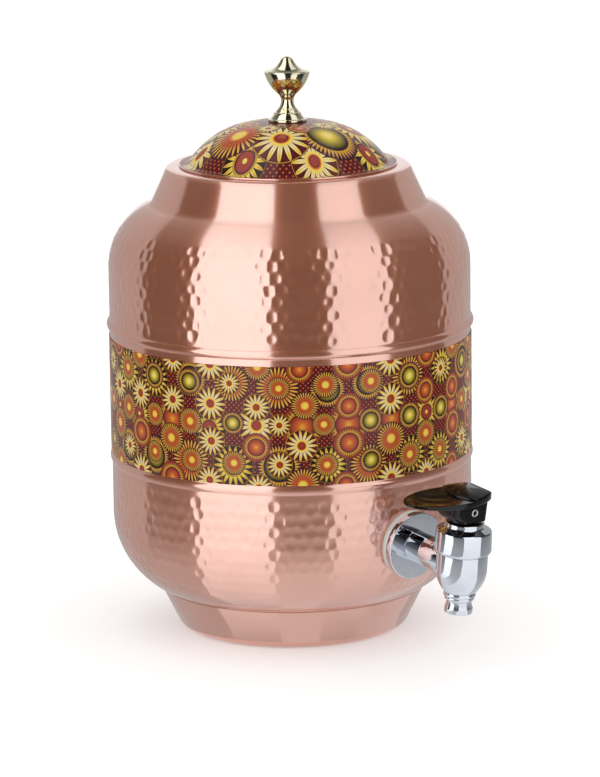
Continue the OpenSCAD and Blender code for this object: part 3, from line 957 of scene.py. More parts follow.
@dataclass
class HammerMarks:
    """Rows of hammer dents that Geometry Nodes press into a shell.

    The rows lie evenly along the surface, from the straight wall over the curve next to it.
    """

    level: float
    side: float
    bend: float
    first: float
    rows: int
    seed: int
    wall: float = WALL_R
    columns: int = 96
    pitch: float = 6.3
    scatter: float = 1.9
    reach: float = 3.2
    depth: float = 0.25
    weakest: float = 0.5
    strongest: float = 1.25

    @property
    def low(self) -> float:
        """Height below which there are no dents."""
        return min(self.height(self.first), self.height(self.first + self.pitch * self.rows))

    @property
    def high(self) -> float:
        """Height above which there are no dents."""
        return max(self.height(self.first), self.height(self.first + self.pitch * self.rows))

    def height(self, along: float) -> float:
        """Height of a place, from its distance along the surface past the wall's end."""
        return self.level + self.side * (along if along < 0 else self.bend * sin(along / self.bend))

    def tree(self, finish: bpy.types.Material) -> bpy.types.NodeTree:
        """Builds the tree that presses the dents.

        Args:
            finish: Material set at the end of the tree.

        Returns:
            The Geometry Nodes tree.
        """
        tree = bpy.data.node_groups.new("hammer marks", "GeometryNodeTree")
        face = tree.interface
        face.new_socket("Geometry", in_out="INPUT", socket_type="NodeSocketGeometry")
        for name in ("Level", "Side", "Bend", "First", "Wall", "Pitch", "Scatter", "Reach", "Depth"):
            face.new_socket(name, in_out="INPUT", socket_type="NodeSocketFloat")
        for name in ("Rows", "Columns", "Seed"):
            face.new_socket(name, in_out="INPUT", socket_type="NodeSocketInt")
        face.new_socket("Geometry", in_out="OUTPUT", socket_type="NodeSocketGeometry")
        add, wire = tree.nodes.new, tree.links.new

        def math(operation: str, a: Value, b: Value = 0.0) -> Socket:
            """One Math node's result.

            Args:
                operation: What the node does.
                a: First input.
                b: Second input.

            Returns:
                The result.
            """
            node = add("ShaderNodeMath")
            node.operation = operation
            for socket, value in zip(node.inputs, (a, b)):
                if isinstance(value, bpy.types.NodeSocket):
                    wire(value, socket)
                else:
                    socket.default_value = value
            return node.outputs[0]

        def chance(low: float, high: float, shift: float) -> Socket:
            """One random number for each dent.

            Args:
                low: Smallest number.
                high: Largest number.
                shift: Added to the seed.

            Returns:
                The number.
            """
            node = add("FunctionNodeRandomValue")
            node.data_type = "FLOAT"
            node.inputs[2].default_value = low
            node.inputs[3].default_value = high
            wire(math("ADD", size["Seed"], shift), node.inputs["Seed"])
            return node.outputs[1]

        def sampled(value: Socket, kind: str) -> Socket:
            """A value of the dent that is nearest.

            Args:
                value: Value to read.
                kind: Its data type.

            Returns:
                The value.
            """
            node = add("GeometryNodeSampleIndex")
            node.data_type = kind
            wire(dents, node.inputs["Geometry"])
            wire(value, node.inputs["Value"])
            wire(nearest, node.inputs["Index"])
            return node.outputs[0]

        start, end = add("NodeGroupInput"), add("NodeGroupOutput")
        size = start.outputs
        number = add("GeometryNodeInputIndex").outputs[0]
        row = math("FLOOR", math("DIVIDE", math("ADD", number, 0.5), size["Columns"]))
        column = math("SUBTRACT", number, math("MULTIPLY", row, size["Columns"]))
        column = math("ADD", column, math("MULTIPLY", math("MODULO", row, 2.0), 0.5))
        step = math("DIVIDE", math("MULTIPLY", size["Wall"], 2 * pi), size["Columns"])
        slip = math("MULTIPLY", chance(-0.5, 0.5, 0), size["Scatter"])
        turn = math("DIVIDE", math("ADD", math("MULTIPLY", column, step), slip), size["Wall"])
        along = math("ADD", size["First"], math("MULTIPLY", math("ADD", row, 0.5), size["Pitch"]))
        along = math("ADD", along, math("MULTIPLY", chance(-0.5, 0.5, 1), size["Scatter"]))
        angle = math("DIVIDE", math("MAXIMUM", along, 0.0), size["Bend"])
        rise = math("ADD", math("MINIMUM", along, 0.0), math("MULTIPLY", math("SINE", angle), size["Bend"]))
        inset = math("MULTIPLY", math("SUBTRACT", 1.0, math("COSINE", angle)), size["Bend"])
        radius = math("SUBTRACT", size["Wall"], inset)
        place = add("ShaderNodeCombineXYZ")
        wire(math("MULTIPLY", math("COSINE", turn), radius), place.inputs[0])
        wire(math("MULTIPLY", math("SINE", turn), radius), place.inputs[1])
        wire(math("ADD", size["Level"], math("MULTIPLY", rise, size["Side"])), place.inputs[2])
        strew = add("GeometryNodePoints")
        wire(math("MULTIPLY", size["Rows"], size["Columns"]), strew.inputs["Count"])
        wire(place.outputs[0], strew.inputs["Position"])
        dents = strew.outputs[0]
        near = add("GeometryNodeSampleNearest")
        wire(dents, near.inputs["Geometry"])
        nearest = near.outputs[0]

        here = add("GeometryNodeInputPosition").outputs[0]
        gap = add("ShaderNodeVectorMath")
        gap.operation = "DISTANCE"
        wire(here, gap.inputs[0])
        wire(sampled(here, "FLOAT_VECTOR"), gap.inputs[1])
        share = math("DIVIDE", gap.outputs["Value"], size["Reach"])
        blow = sampled(chance(self.weakest, self.strongest, 2), "FLOAT")
        bowl = math("MAXIMUM", math("SUBTRACT", blow, math("MULTIPLY", share, share)), 0.0)
        plan = add("ShaderNodeVectorMath")
        plan.operation = "MULTIPLY"
        plan.inputs[1].default_value = (1.0, 1.0, 0.0)
        wire(here, plan.inputs[0])
        normal = add("GeometryNodeInputNormal").outputs[0]
        out = add("ShaderNodeVectorMath")
        out.operation = "DOT_PRODUCT"
        wire(normal, out.inputs[0])
        wire(plan.outputs[0], out.inputs[1])
        sink = math("MULTIPLY", math("MULTIPLY", bowl, size["Depth"]), -1.0)
        sink = math("MULTIPLY", sink, math("GREATER_THAN", out.outputs["Value"], 0.0))
        push = add("ShaderNodeVectorMath")
        push.operation = "SCALE"
        wire(normal, push.inputs[0])
        wire(sink, push.inputs["Scale"])
        press = add("GeometryNodeSetPosition")
        wire(size["Geometry"], press.inputs["Geometry"])
        wire(push.outputs[0], press.inputs["Offset"])
        real = add("GeometryNodeRealizeInstances")
        wire(press.outputs[0], real.inputs[0])
        dress = add("GeometryNodeSetMaterial")
        dress.inputs["Material"].default_value = finish
        wire(real.outputs[0], dress.inputs["Geometry"])
        wire(dress.outputs[0], end.inputs[0])
        return tree

    def press(self, piece: bpy.types.Object, finish: bpy.types.Material) -> None:
        """Presses the dents into a shell.

        Args:
            piece: The smooth shell.
            finish: Its material.
        """
        tree = self.tree(finish)
        modifier = piece.modifiers.new("hammer", "NODES")
        modifier.node_group = tree
        lengths = {
            "Level": self.level, "Bend": self.bend, "First": self.first, "Wall": self.wall,
            "Pitch": self.pitch, "Scatter": self.scatter, "Reach": self.reach, "Depth": self.depth,
        }
        values: dict[str, float] = {name: value * MM for name, value in lengths.items()}
        values |= {"Side": self.side, "Rows": self.rows, "Columns": self.columns, "Seed": self.seed}
        for item in tree.interface.items_tree:
            if item.in_out == "INPUT" and item.name in values:
                modifier[item.identifier] = values[item.name]
        baked(piece)
        piece.data.shade_smooth()


@dataclass
class Vessel:
    """Hammered shells, foot and printed band."""

    finishes: Finishes
    wall_r: float = WALL_R
    sheet_t: float = SHEET_T
    bowl_r: float = BOWL_R
    shoulder_r: float = SHOULDER_R
    lap_h: float = 9.0
    bead_half: float = 2.3
    bead_run: float = 1.2
    bead_fillet: float = 0.5
    lower_bead: Point = (92.0, 0.9)
    upper_bead: Point = (161.9, 1.5)
    band: Point = BAND
    band_t: float = 0.4
    foot_edge_r: float = 59.2
    foot_taper: float = 26.5
    foot_round: float = 6.0
    neck_step: float = 31.0
    neck_taper: float = 25.0
    neck_fillet: float = 5.0
    rim_round: float = 4.5
    mouth_r: float = 52.0
    mouth_edge_h: float = 6.0
    edge_soft: float = 0.45
    lip_soft: float = 0.35
    band_soft: float = 0.18
    gap: float = GAP
    segments: int = 620
    fine: float = 0.86
    coarse: float = 14.0
    marks_margin: float = 1.0
    marks_inner_r: float = 60.0
    lower_marks: HammerMarks = field(
        default_factory=lambda: HammerMarks(BOWL_Z, -1.0, BOWL_R, first=-24.0, rows=9, seed=11))
    upper_marks: HammerMarks = field(
        default_factory=lambda: HammerMarks(SHOULDER_Z, 1.0, SHOULDER_R, first=-26.0, rows=8, seed=4))

    def bowl(self, inset: float, steps: int) -> Outline:
        """Bowl from the axis to the wall, set in by inset."""
        middle = (self.wall_r - self.bowl_r, BOWL_Z)
        return [(0.0, FLOOR_Z + inset)] + arc(middle, self.bowl_r - inset, -90, 0, steps)

    def bead(self, place: Point) -> Outline:
        """Rounded rib with a small fillet at both ends.

        Args:
            place: Its height and how far it stands out.

        Returns:
            The rib's points from below.
        """
        z, proud = place
        radius = (self.bead_half ** 2 + proud ** 2) / (2 * proud)
        angle = degrees(asin(self.bead_half / radius))
        rib = arc((self.wall_r + proud - radius, z), radius, -angle, angle, 10)
        half = self.bead_half + self.bead_run
        line = [(self.wall_r, z - half)] + rib + [(self.wall_r, z + half)]
        return softened(line, self.bead_fillet, 3, closed=False)

    def neck(self, inset: float, steps: int) -> Outline:
        """Shoulder, neck and rim, set in by inset.

        Args:
            inset: How far inside the outer face.
            steps: Chords of the shoulder.

        Returns:
            Points from the wall's top to the rim's top.
        """
        t = radians(self.neck_taper)
        up, out = (-sin(t), cos(t)), (cos(t), sin(t))
        edge = (self.wall_r - self.neck_step, RIM_Z)
        mid = (self.wall_r - self.shoulder_r, SHOULDER_Z)
        q = tuple(edge[c] + self.neck_fillet * out[c] - mid[c] for c in (0, 1))
        m = q[0] * up[0] + q[1] * up[1]
        s = -m + sqrt(m * m - q[0] ** 2 - q[1] ** 2 + (self.shoulder_r + self.neck_fillet) ** 2)
        fillet = tuple(mid[c] + q[c] + s * up[c] for c in (0, 1))
        a = degrees(atan2(fillet[1] - mid[1], fillet[0] - mid[0]))
        rim = (edge[0] - self.rim_round * (1 - sin(t)) / cos(t), RIM_Z - self.rim_round)
        return (
            arc(mid, self.shoulder_r - inset, 0, a, steps)
            + arc(fillet, self.neck_fillet + inset, 180 + a, 180 + self.neck_taper, 8)
            + arc(rim, self.rim_round - inset, self.neck_taper, 90, 10)
        )

    def foot(self, inset: float) -> Outline:
        """Foot from the axis up its cone to the bowl, set in by inset.

        Args:
            inset: How far inside the outer face.

        Returns:
            The foot's points.
        """
        t = radians(self.foot_taper)
        up, inward = (sin(t), cos(t)), (-cos(t), sin(t))
        centre = (self.foot_edge_r - self.foot_round * (1 - sin(t)) / cos(t), self.foot_round)
        e = (self.foot_edge_r + inset * inward[0], inset * inward[1])
        q = (e[0] - self.wall_r + self.bowl_r, e[1] - BOWL_Z)
        m = q[0] * up[0] + q[1] * up[1]
        s = -m - sqrt(m * m - q[0] ** 2 - q[1] ** 2 + (self.bowl_r + self.gap) ** 2)
        top = (e[0] + s * up[0], e[1] + s * up[1])
        return [(0.0, inset)] + arc(centre, self.foot_round - inset, -90, -self.foot_taper, 12) + [top]

    def chord(self, marks: HammerMarks) -> Callable[[Point], float]:
        """Chord length that is fine inside a hammered zone."""
        low, high = marks.low - self.marks_margin, marks.high + self.marks_margin
        return lambda p: self.fine if low < p[1] < high and p[0] > self.marks_inner_r else self.coarse

    def build_lower(self) -> bpy.types.Object:
        """The lower shell with its dents.

        Returns:
            The new object.
        """
        seam = sum(self.band) / 2
        tongue = self.wall_r - self.sheet_t - self.gap
        step = seam - self.lap_h / 2
        outer = self.bowl(0, 30) + self.bead(self.lower_bead) + [(self.wall_r, seam - self.gap)]
        inner = [
            (tongue, seam - self.gap), (tongue, seam + self.lap_h),
            (tongue - self.sheet_t, seam + self.lap_h), (tongue - self.sheet_t, step + self.sheet_t),
            (self.wall_r - self.sheet_t, step),
        ]
        inner += self.bowl(self.sheet_t, 14)[::-1]
        outline = spaced(outer, self.chord(self.lower_marks)) + inner
        piece = link("lower_vessel", lathe(outline, self.segments))
        self.lower_marks.press(piece, self.finishes.copper)
        return piece

    def build_upper(self) -> bpy.types.Object:
        """The upper shell with its dents, neck and rim.

        Returns:
            The new object.
        """
        seam = sum(self.band) / 2
        t, rim = self.sheet_t, RIM_Z
        outer = [(self.wall_r, seam)] + self.bead(self.upper_bead) + self.neck(0, 24)
        edge = [
            (self.mouth_r, rim), (self.mouth_r, rim - self.mouth_edge_h),
            (self.mouth_r + t, rim - self.mouth_edge_h), (self.mouth_r + t, rim - t),
        ]
        edge = softened([outer[-1]] + edge, self.edge_soft, 3, closed=False)[1:]
        inner = self.neck(t, 10)[::-1] + [(self.wall_r - t, seam)]
        outline = spaced(outer, self.chord(self.upper_marks)) + edge + inner
        piece = link("upper_vessel", lathe(outline, self.segments))
        self.upper_marks.press(piece, self.finishes.copper)
        return piece

    def build_foot(self) -> bpy.types.Object:
        """The foot, closed below.

        Returns:
            The new object.
        """
        outer, inner = self.foot(0), self.foot(self.sheet_t)
        lip = softened([outer[-2], outer[-1], inner[-1], inner[-2]], self.lip_soft, 3, closed=False)
        return link("foot", lathe(outer[:-2] + lip + inner[:-2][::-1], 288))

    def build_band(self) -> bpy.types.Object:
        """The printed sleeve between the beads.

        Returns:
            The new object.
        """
        inner = self.wall_r + self.gap
        low, high = self.band
        line = [(inner, low), (inner + self.band_t, low), (inner + self.band_t, high), (inner, high)]
        return link("band", lathe(softened(line, self.band_soft, 3), 400))

    def dress(self) -> None:
        """Builds all pieces and hands them to the frame."""
        f = self.finishes
        seat(self.build_lower(), Body.ROOT, Slot.COPPER, f.copper, "lower_shell")
        seat(self.build_upper(), Body.ROOT, Slot.COPPER, f.copper, "upper_shell")
        seat(self.build_foot(), Body.ROOT, Slot.COPPER, f.copper, "foot_cup")
        seat(self.build_band(), Body.ROOT, Slot.FILM, f.band, "print_band")


# Lid


@dataclass
class Lid:
    """Printed dome with a copper edge and a turned knob."""

    finishes: Finishes
    rim_z: float = RIM_Z
    gap: float = GAP
    sheet_t: float = SHEET_T
    brim_r: float = 56.8
    edge_w: float = 0.7
    edge_lap: float = 0.02
    brim_soft: float = 1.6
    edge_soft: float = 0.35
    dome_r: float = 52.5
    dome_rise: float = 21.3
    fullness: float = 3.3
    screw_r: float = 2.08
    ring: tuple[float, float, float] = (51.0, 50.0, 12.0)
    ring_soft: float = 0.3
    knob_h: float = 33.6
    knob_foot: Point = (10.1, 1.3)
    knob_step: Point = (7.1, 4.6)
    knob_waist: tuple[float, float, float] = (3.4, 10.4, 5.0)
    knob_brim: Point = (12.0, 25.1)
    knob_tip: Point = (3.6, 2.3)
    knob_ledge: float = 0.8
    knob_land: float = 2.0
    knob_hollow: float = 1.0

    @property
    def dome_z(self) -> float:
        """Height of the brim's upper face."""
        return self.rim_z + self.gap + self.sheet_t

    def dome_at(self, r: float, inset: float = 0.0) -> float:
        """Height of the dome at a radius, lowered by inset."""
        return self.dome_z - inset + self.dome_rise * (1 - (r / (self.dome_r - inset)) ** self.fullness)

    def dome_line(self, inset: float, hole: float, steps: int) -> Outline:
        """Dome from its edge to the hole in its middle.

        Args:
            inset: How far inside the outer face.
            hole: Radius of the hole.
            steps: Number of chords.

        Returns:
            The dome's points.
        """
        reach = self.dome_r - inset
        radii = [reach + (hole - reach) * sin(pi / 2 * i / steps) for i in range(steps + 1)]
        return [(r, self.dome_at(r, inset)) for r in radii]

    def build_dome(self) -> bpy.types.Object:
        """The dome with a softened brim.

        Returns:
            The new object.
        """
        dome = self.dome_line(0, self.screw_r, 64)
        brim = self.brim_r - self.edge_w
        upper = softened([(brim, self.dome_z)] + dome[:2], self.brim_soft, 8, closed=False)
        outline = [(brim, self.dome_z - self.sheet_t)] + upper + dome[2:]
        outline += self.dome_line(self.sheet_t, self.screw_r, 48)[::-1]
        return link("lid_top", lathe(outline, 320))

    def build_edge(self) -> bpy.types.Object:
        """Bare copper edge around the brim.

        Returns:
            The new object.
        """
        low, high = self.dome_z - self.sheet_t, self.dome_z
        inner = self.brim_r - self.edge_w - self.edge_lap
        line = [(inner, low), (self.brim_r, low), (self.brim_r, high), (inner, high)]
        return link("lid_edge", lathe(softened(line, self.edge_soft, 4), 320))

    def build_ring(self) -> bpy.types.Object:
        """Ring that keeps the lid in the mouth.

        Returns:
            The new object.
        """
        out, inner, depth = self.ring
        low = self.rim_z + self.gap - depth
        line = [
            (inner, low), (out, low), (out, self.dome_at(out, self.sheet_t) - self.gap),
            (inner, self.dome_at(inner, self.sheet_t) - self.gap),
        ]
        return link("lid_skirt", lathe(softened(line, self.ring_soft, 3), 240))

    def build_knob(self) -> bpy.types.Object:
        """The turned knob.

        Returns:
            The new object.
        """
        foot_r, foot_h = self.knob_foot
        step_r, step_z = self.knob_step
        waist_r, waist_z, curve = self.knob_waist
        brim_r, brim_z = self.knob_brim
        tip_r, tip_h = self.knob_tip
        ledge, land = self.knob_ledge, foot_r - self.knob_land
        base = self.dome_at(land) + self.gap
        waist = arc((waist_r + curve, waist_z), curve, 232, 128, 24)
        ball = (tip_r ** 2 + tip_h ** 2) / (2 * tip_h)
        foot = softened(
            [(land, 0), (foot_r, 0), (foot_r, foot_h), (foot_r - ledge, foot_h + 0.15),
             (step_r + 0.15, step_z - ledge), (step_r + 0.3, step_z), (step_r - 0.5, step_z + 0.3),
             waist[0]],
            0.3, 4, closed=False)
        bowl = arc_from(waist[-1], 38, (brim_r, brim_z), 22)
        roll = arc((brim_r - ledge / 2, brim_z + ledge / 2), ledge / 2, -20, 110, 8)
        groove = (brim_r - 1.6 * ledge, brim_z + 0.7 * ledge)
        flare = arc_from((brim_r - 2 * ledge, brim_z + 1.3 * ledge), 166, (tip_r, self.knob_h - tip_h), 18)
        cap = arc((0, self.knob_h - ball), ball, degrees(acos(tip_r / ball)), 90, 10)
        cut = softened([roll[-1], groove, flare[0], flare[1]], 0.25, 4, closed=False)
        crown = softened([flare[-2], cap[0], cap[1]], 0.3, 3, closed=False)
        body = waist[1:] + bowl[1:-1] + roll + cut[1:-1] + flare[1:-1] + crown[1:-1] + cap[1:]
        outline = foot + body + [(0, self.knob_hollow), (land, self.knob_hollow)]
        return link("knob_turned", lathe(outline, 160, Matrix.Translation((0, 0, base))))

    def dress(self) -> None:
        """Builds all pieces and hands them to the frame."""
        f = self.finishes
        seat(self.build_dome(), Body.LID, Slot.SHEET, f.lid, "lid_dome")
        seat(self.build_edge(), Body.LID, Slot.COPPER, f.copper)
        seat(self.build_ring(), Body.LID, Slot.COPPER, f.copper, "lid_ring")
        seat(self.build_knob(), Body.LID, Slot.NICKEL, f.nickel, "knob")
        paint_node("knob_screw", f.steel)
        paint_node("knob_washer", f.steel)


# Tap


@dataclass
class Tap:
    """Chrome tap with its gasket, bonnet and nozzle."""

    finishes: Finishes
    wall_r: float = WALL_R
    bowl_r: float = BOWL_R
    bowl_z: float = BOWL_Z
    height: float = 58.9
    lean: float = 6.2
    reach: float = 39.9
    gap: float = GAP
    gasket: Point = (17.1, 1.4)
    gasket_land: float = 0.5
    gasket_swell: float = 0.12
    flange: Point = (17.5, 3.8)
    shank: Point = (7.5, 14.45)
    thread: Point = (1.8, 0.5)
    pipe_r: float = 8.1
    barrel_r: float = 13.0
    barrel_drop: float = 13.6
    base_ring: Point = (8.2, 1.8)
    nozzle_h: float = 9.0
    nozzle_r: float = 6.3
    lip_r: float = 7.2
    outlet_r: float = 4.4
    bonnet_r: float = 14.5
    bonnet_z: float = 7.6
    bonnet_h: float = 12.0
    top_ring: Point = (10.0, 4.4)
    stem_r: float = 2.58

    @property
    def wall_place(self) -> Matrix:
        """Frame on the wall, with the outlet side along -Y."""
        out = self.wall_r - self.bowl_r + sqrt(self.bowl_r ** 2 - (self.bowl_z - self.height) ** 2)
        return Matrix.Translation((0, -out, self.height)) @ Matrix.Rotation(radians(self.lean), 4, "X")

    @property
    def shank_place(self) -> Matrix:
        """Frame along the shank, with z outwards."""
        return self.wall_place @ Matrix.Rotation(pi / 2, 4, "X")

    @property
    def barrel_place(self) -> Matrix:
        """Frame up the barrel, from the pipe's axis."""
        return self.wall_place @ Matrix.Translation((0, -self.reach, 0))

    def wall_depth(self, rho: float, angle: float) -> float:
        """Where a line along the shank meets the wall.

        Args:
            rho: Distance of the line from the shank's axis.
            angle: Its angle around the shank.

        Returns:
            Place along the shank's axis.
        """
        low, high = -14.0, 4.0
        for _ in range(40):
            t = (low + high) / 2
            p = self.shank_place @ Vector((rho * cos(angle), rho * sin(angle), t))
            drop = max(0.0, self.bowl_z - p.z)
            wall = self.wall_r - self.bowl_r + sqrt(max(0.0, self.bowl_r ** 2 - drop ** 2))
            if hypot(p.x, p.y) < wall + self.gap:
                low = t
            else:
                high = t
        return high

    def build_gasket(self) -> bpy.types.Object:
        """Soft ring that fills the gap between wall and flange.

        Returns:
            The new object.
        """
        r, t = self.gasket
        inner, turns = self.shank[0] + self.gap, 120
        land, swell = r - self.gasket_land, self.gasket_swell
        rows: list[list[Vector]] = []
        for k in range(turns):
            a = 2 * pi * k / turns
            deep, edge = self.wall_depth(inner, a), self.wall_depth(r, a) - 0.2
            belly = (t + edge) / 2
            loop = [
                (inner, t), (land, t), (r - swell, t - 0.15), (r + swell, (t + belly) / 2),
                (r + 0.22, belly), (r + swell, (edge + belly) / 2), (r - 0.1, edge + swell),
                (land, self.wall_depth(land, a)), ((r + inner) / 2, self.wall_depth((r + inner) / 2, a)),
                (inner, deep),
            ]
            rows.append([Vector((p * cos(a), p * sin(a), z)) for p, z in loop])
        count = len(rows[0])
        verts = [v for row in rows for v in row]
        faces = [
            (k * count + i, ((k + 1) % turns) * count + i, ((k + 1) % turns) * count + (i + 1) % count,
             k * count + (i + 1) % count)
            for k in range(turns) for i in range(count)
        ]
        mesh = bpy.data.meshes.new("gasket")
        mesh.from_pydata([tuple(v) for v in verts], [], faces)
        mesh.transform(Matrix.Scale(MM, 4) @ self.shank_place)
        bm = bmesh.new()
        bm.from_mesh(mesh)
        bmesh.ops.recalc_face_normals(bm, faces=bm.faces)
        bm.to_mesh(mesh)
        bm.free()
        return link("outer_seal", mesh)

    def build_flange(self) -> bpy.types.Object:
        """Wall flange with a flat mirror face and a rounded rim.

        Returns:
            The new object.
        """
        r, t = self.flange
        z0, bore = self.gasket[1] + self.gap, self.shank[0] + self.gap
        line = [(bore, z0), (r, z0), (r, z0 + t), (bore, z0 + t)]
        return link("tap_flange", lathe(softened(line, 0.5, 6), 192, self.shank_place), 30)

    def build_body(self) -> bpy.types.Object:
        """Shank, pipe and barrel.

        Returns:
            The new object.
        """
        face = self.gasket[1] + self.gap + self.flange[1] + self.gap
        shank_r, shank_l = self.shank
        pitch, deep = self.thread
        root, run_in, crest, run_out, plain = shank_r - deep, 0.5, 0.35, 0.8, 1.6
        thread: Outline = [(0, -shank_l), (root, -shank_l)]
        z = -shank_l + pitch
        while z < -plain - run_out:
            thread += [(root, z - run_in), (shank_r, z), (shank_r, z + crest), (root, z + run_out)]
            z += pitch
        thread += [(shank_r, -plain), (shank_r, face + 1), (0, face + 1)]
        pipe = [(0, face), (self.pipe_r, face), (self.pipe_r, self.reach), (0, self.reach)]
        ring_r, ring_h = self.base_ring
        low = -self.barrel_drop - ring_h
        bowl = arc_from((self.barrel_r, -1), -90, (ring_r - 0.4, -self.barrel_drop), 28)
        barrel = [(0, low), (ring_r, low), (ring_r, -self.barrel_drop - 0.4)]
        barrel += bowl[::-1] + [(self.barrel_r, self.bonnet_z - self.gap), (0, self.bonnet_z - self.gap)]
        return joined("tap_casting", [
            lathe(thread, 72, self.shank_place),
            lathe(softened(pipe, 0.35, 4), 144, self.shank_place),
            lathe(softened(barrel, 0.4, 4), 160, self.barrel_place),
        ], 30)

    def build_bonnet(self) -> bpy.types.Object:
        """Collar with a rounded lower edge, a cone and a ring on top.

        Returns:
            The new object.
        """
        r, z0 = self.bonnet_r, self.bonnet_z
        top = z0 + self.bonnet_h
        ring_r, ring_h = self.top_ring
        draft, round_h, cone_h = 0.4, 2.2, 2.0
        low = arc_from((r, z0 + round_h), -90, (self.barrel_r + 0.1, z0), 10)
        line = [
            (self.stem_r, top + ring_h), (ring_r, top + ring_h), (ring_r, top + cone_h), (r - draft, top),
        ]
        line = softened(line + low[:1], 0.7, 6, closed=False)
        return link("tap_collar", lathe(line + low[1:] + [(self.stem_r, z0)], 176, self.barrel_place), 30)

    def build_nozzle(self) -> bpy.types.Object:
        """Outlet with its band, neck and lip.

        Returns:
            The new object.
        """
        top = -self.barrel_drop - self.base_ring[1] - self.gap
        band, h, tail = self.base_ring[0] - 0.6, self.nozzle_h, self.outlet_r + 1.2
        line = [
            (self.outlet_r, 5), (tail, 5), (tail, 0), (band - 0.4, 0), (band, -0.4), (band, -1.6),
            (band - 0.5, -2),
        ]
        lip = 2.6
        line += arc_from((self.nozzle_r, -2.4), -90, (self.lip_r, -h + lip), 10)
        line += [(self.lip_r, -h), (self.outlet_r + 0.4, -h), (self.outlet_r, -h + 0.5)]
        place = self.barrel_place @ Matrix.Translation((0, 0, top))
        return link("tap_nozzle", lathe(softened(line, 0.5, 4), 112, place), 30)

    def dress(self) -> None:
        """Builds all pieces and hands them to the frame."""
        f = self.finishes
        seat(self.build_gasket(), Body.ROOT, Slot.SILICONE, f.silicone, "outer_gasket")
        seat(self.build_flange(), Body.ROOT, Slot.CHROME, f.chrome, "wall_flange")
        seat(self.build_body(), Body.ROOT, Slot.CHROME, f.chrome, "tap_body")
        seat(self.build_bonnet(), Body.ROOT, Slot.CHROME, f.chrome, "bonnet")
        seat(self.build_nozzle(), Body.ROOT, Slot.CHROME, f.chrome, "nozzle")
        for node in ("inner_gasket", "nozzle_seal", "bonnet_seal", "valve_plug"):
            paint_node(node, f.silicone)
        paint_node("lock_nut", f.nylon)
        paint_node("stem_seal", f.rubber)
        paint_node("valve_stem", f.brass)
        paint_node("valve_spring", f.steel)


# Lever


def slab(outline: Sequence[Point], middle: Point, top: Callable[[float, float], float],
         under: Callable[[float, float], float], rounds: Point, rings: int) -> bpy.types.Mesh:
    """Solid between two curved faces, with rounded edges.

    Args:
        outline: Its edge seen from above, all of it in sight of the middle.
        middle: A point inside.
        top: Height of the upper face.
        under: Height of the lower face.
        rounds: Rounding of the upper and the lower edge.
        rings: Rings of faces between the edge and the middle.

    Returns:
        A closed mesh in millimetres.
    """
    count, bends = len(outline), 5
    verts: list[tuple[float, float, float]] = []
    for height, radius, sign in ((top, rounds[0], -1.0), (under, rounds[1], 1.0)):
        angles = [pi / 2 * k / bends for k in range(bends)]
        insets = [(radius * (1 - cos(a)), radius * (1 - sin(a))) for a in angles]
        for ring in range(bends + rings):
            for px, py in outline:
                far = hypot(px - middle[0], py - middle[1])
                if ring < bends:
                    share, roll = 1 - insets[ring][0] / far, insets[ring][1]
                else:
                    share, roll = (1 - radius / far) * (1 - (ring - bends) / rings), 0.0
                x, y = middle[0] + (px - middle[0]) * share, middle[1] + (py - middle[1]) * share
                verts.append((x, y, height(x, y) + sign * roll))
        verts.append((middle[0], middle[1], height(*middle)))
    half = (bends + rings) * count + 1
    faces: list[tuple[int, ...]] = []
    for base in (0, half):
        for ring in range(bends + rings - 1):
            a, b = base + ring * count, base + (ring + 1) * count
            faces += [(a + i, a + (i + 1) % count, b + (i + 1) % count, b + i) for i in range(count)]
        last = base + (bends + rings - 1) * count
        faces += [(last + i, last + (i + 1) % count, base + half - 1) for i in range(count)]
    faces += [(i, (i + 1) % count, half + (i + 1) % count, half + i) for i in range(count)]
    mesh = bpy.data.meshes.new("slab")
    mesh.from_pydata(verts, [], faces)
    return mesh


def around(outline: Sequence[Point], count: int) -> Outline:
    """Points of a convex outline in even steps of angle around the origin.

    Args:
        outline: Corners of the outline, which holds the origin.
        count: Number of points wanted.

    Returns:
        The points, from the x axis on.
    """
    parallel = 1e-9
    result: Outline = []
    for k in range(count):
        c, s = cos(2 * pi * k / count), sin(2 * pi * k / count)
        reach = 0.0
        for i, b in enumerate(outline):
            a = outline[i - 1]
            ca, cb = c * a[1] - s * a[0], c * b[1] - s * b[0]
            if ca * cb > 0 or abs(ca - cb) < parallel:
                continue
            t = ca / (ca - cb)
            reach = max(reach, c * (a[0] + (b[0] - a[0]) * t) + s * (a[1] + (b[1] - a[1]) * t))
        result.append((reach * c, reach * s))
    return result


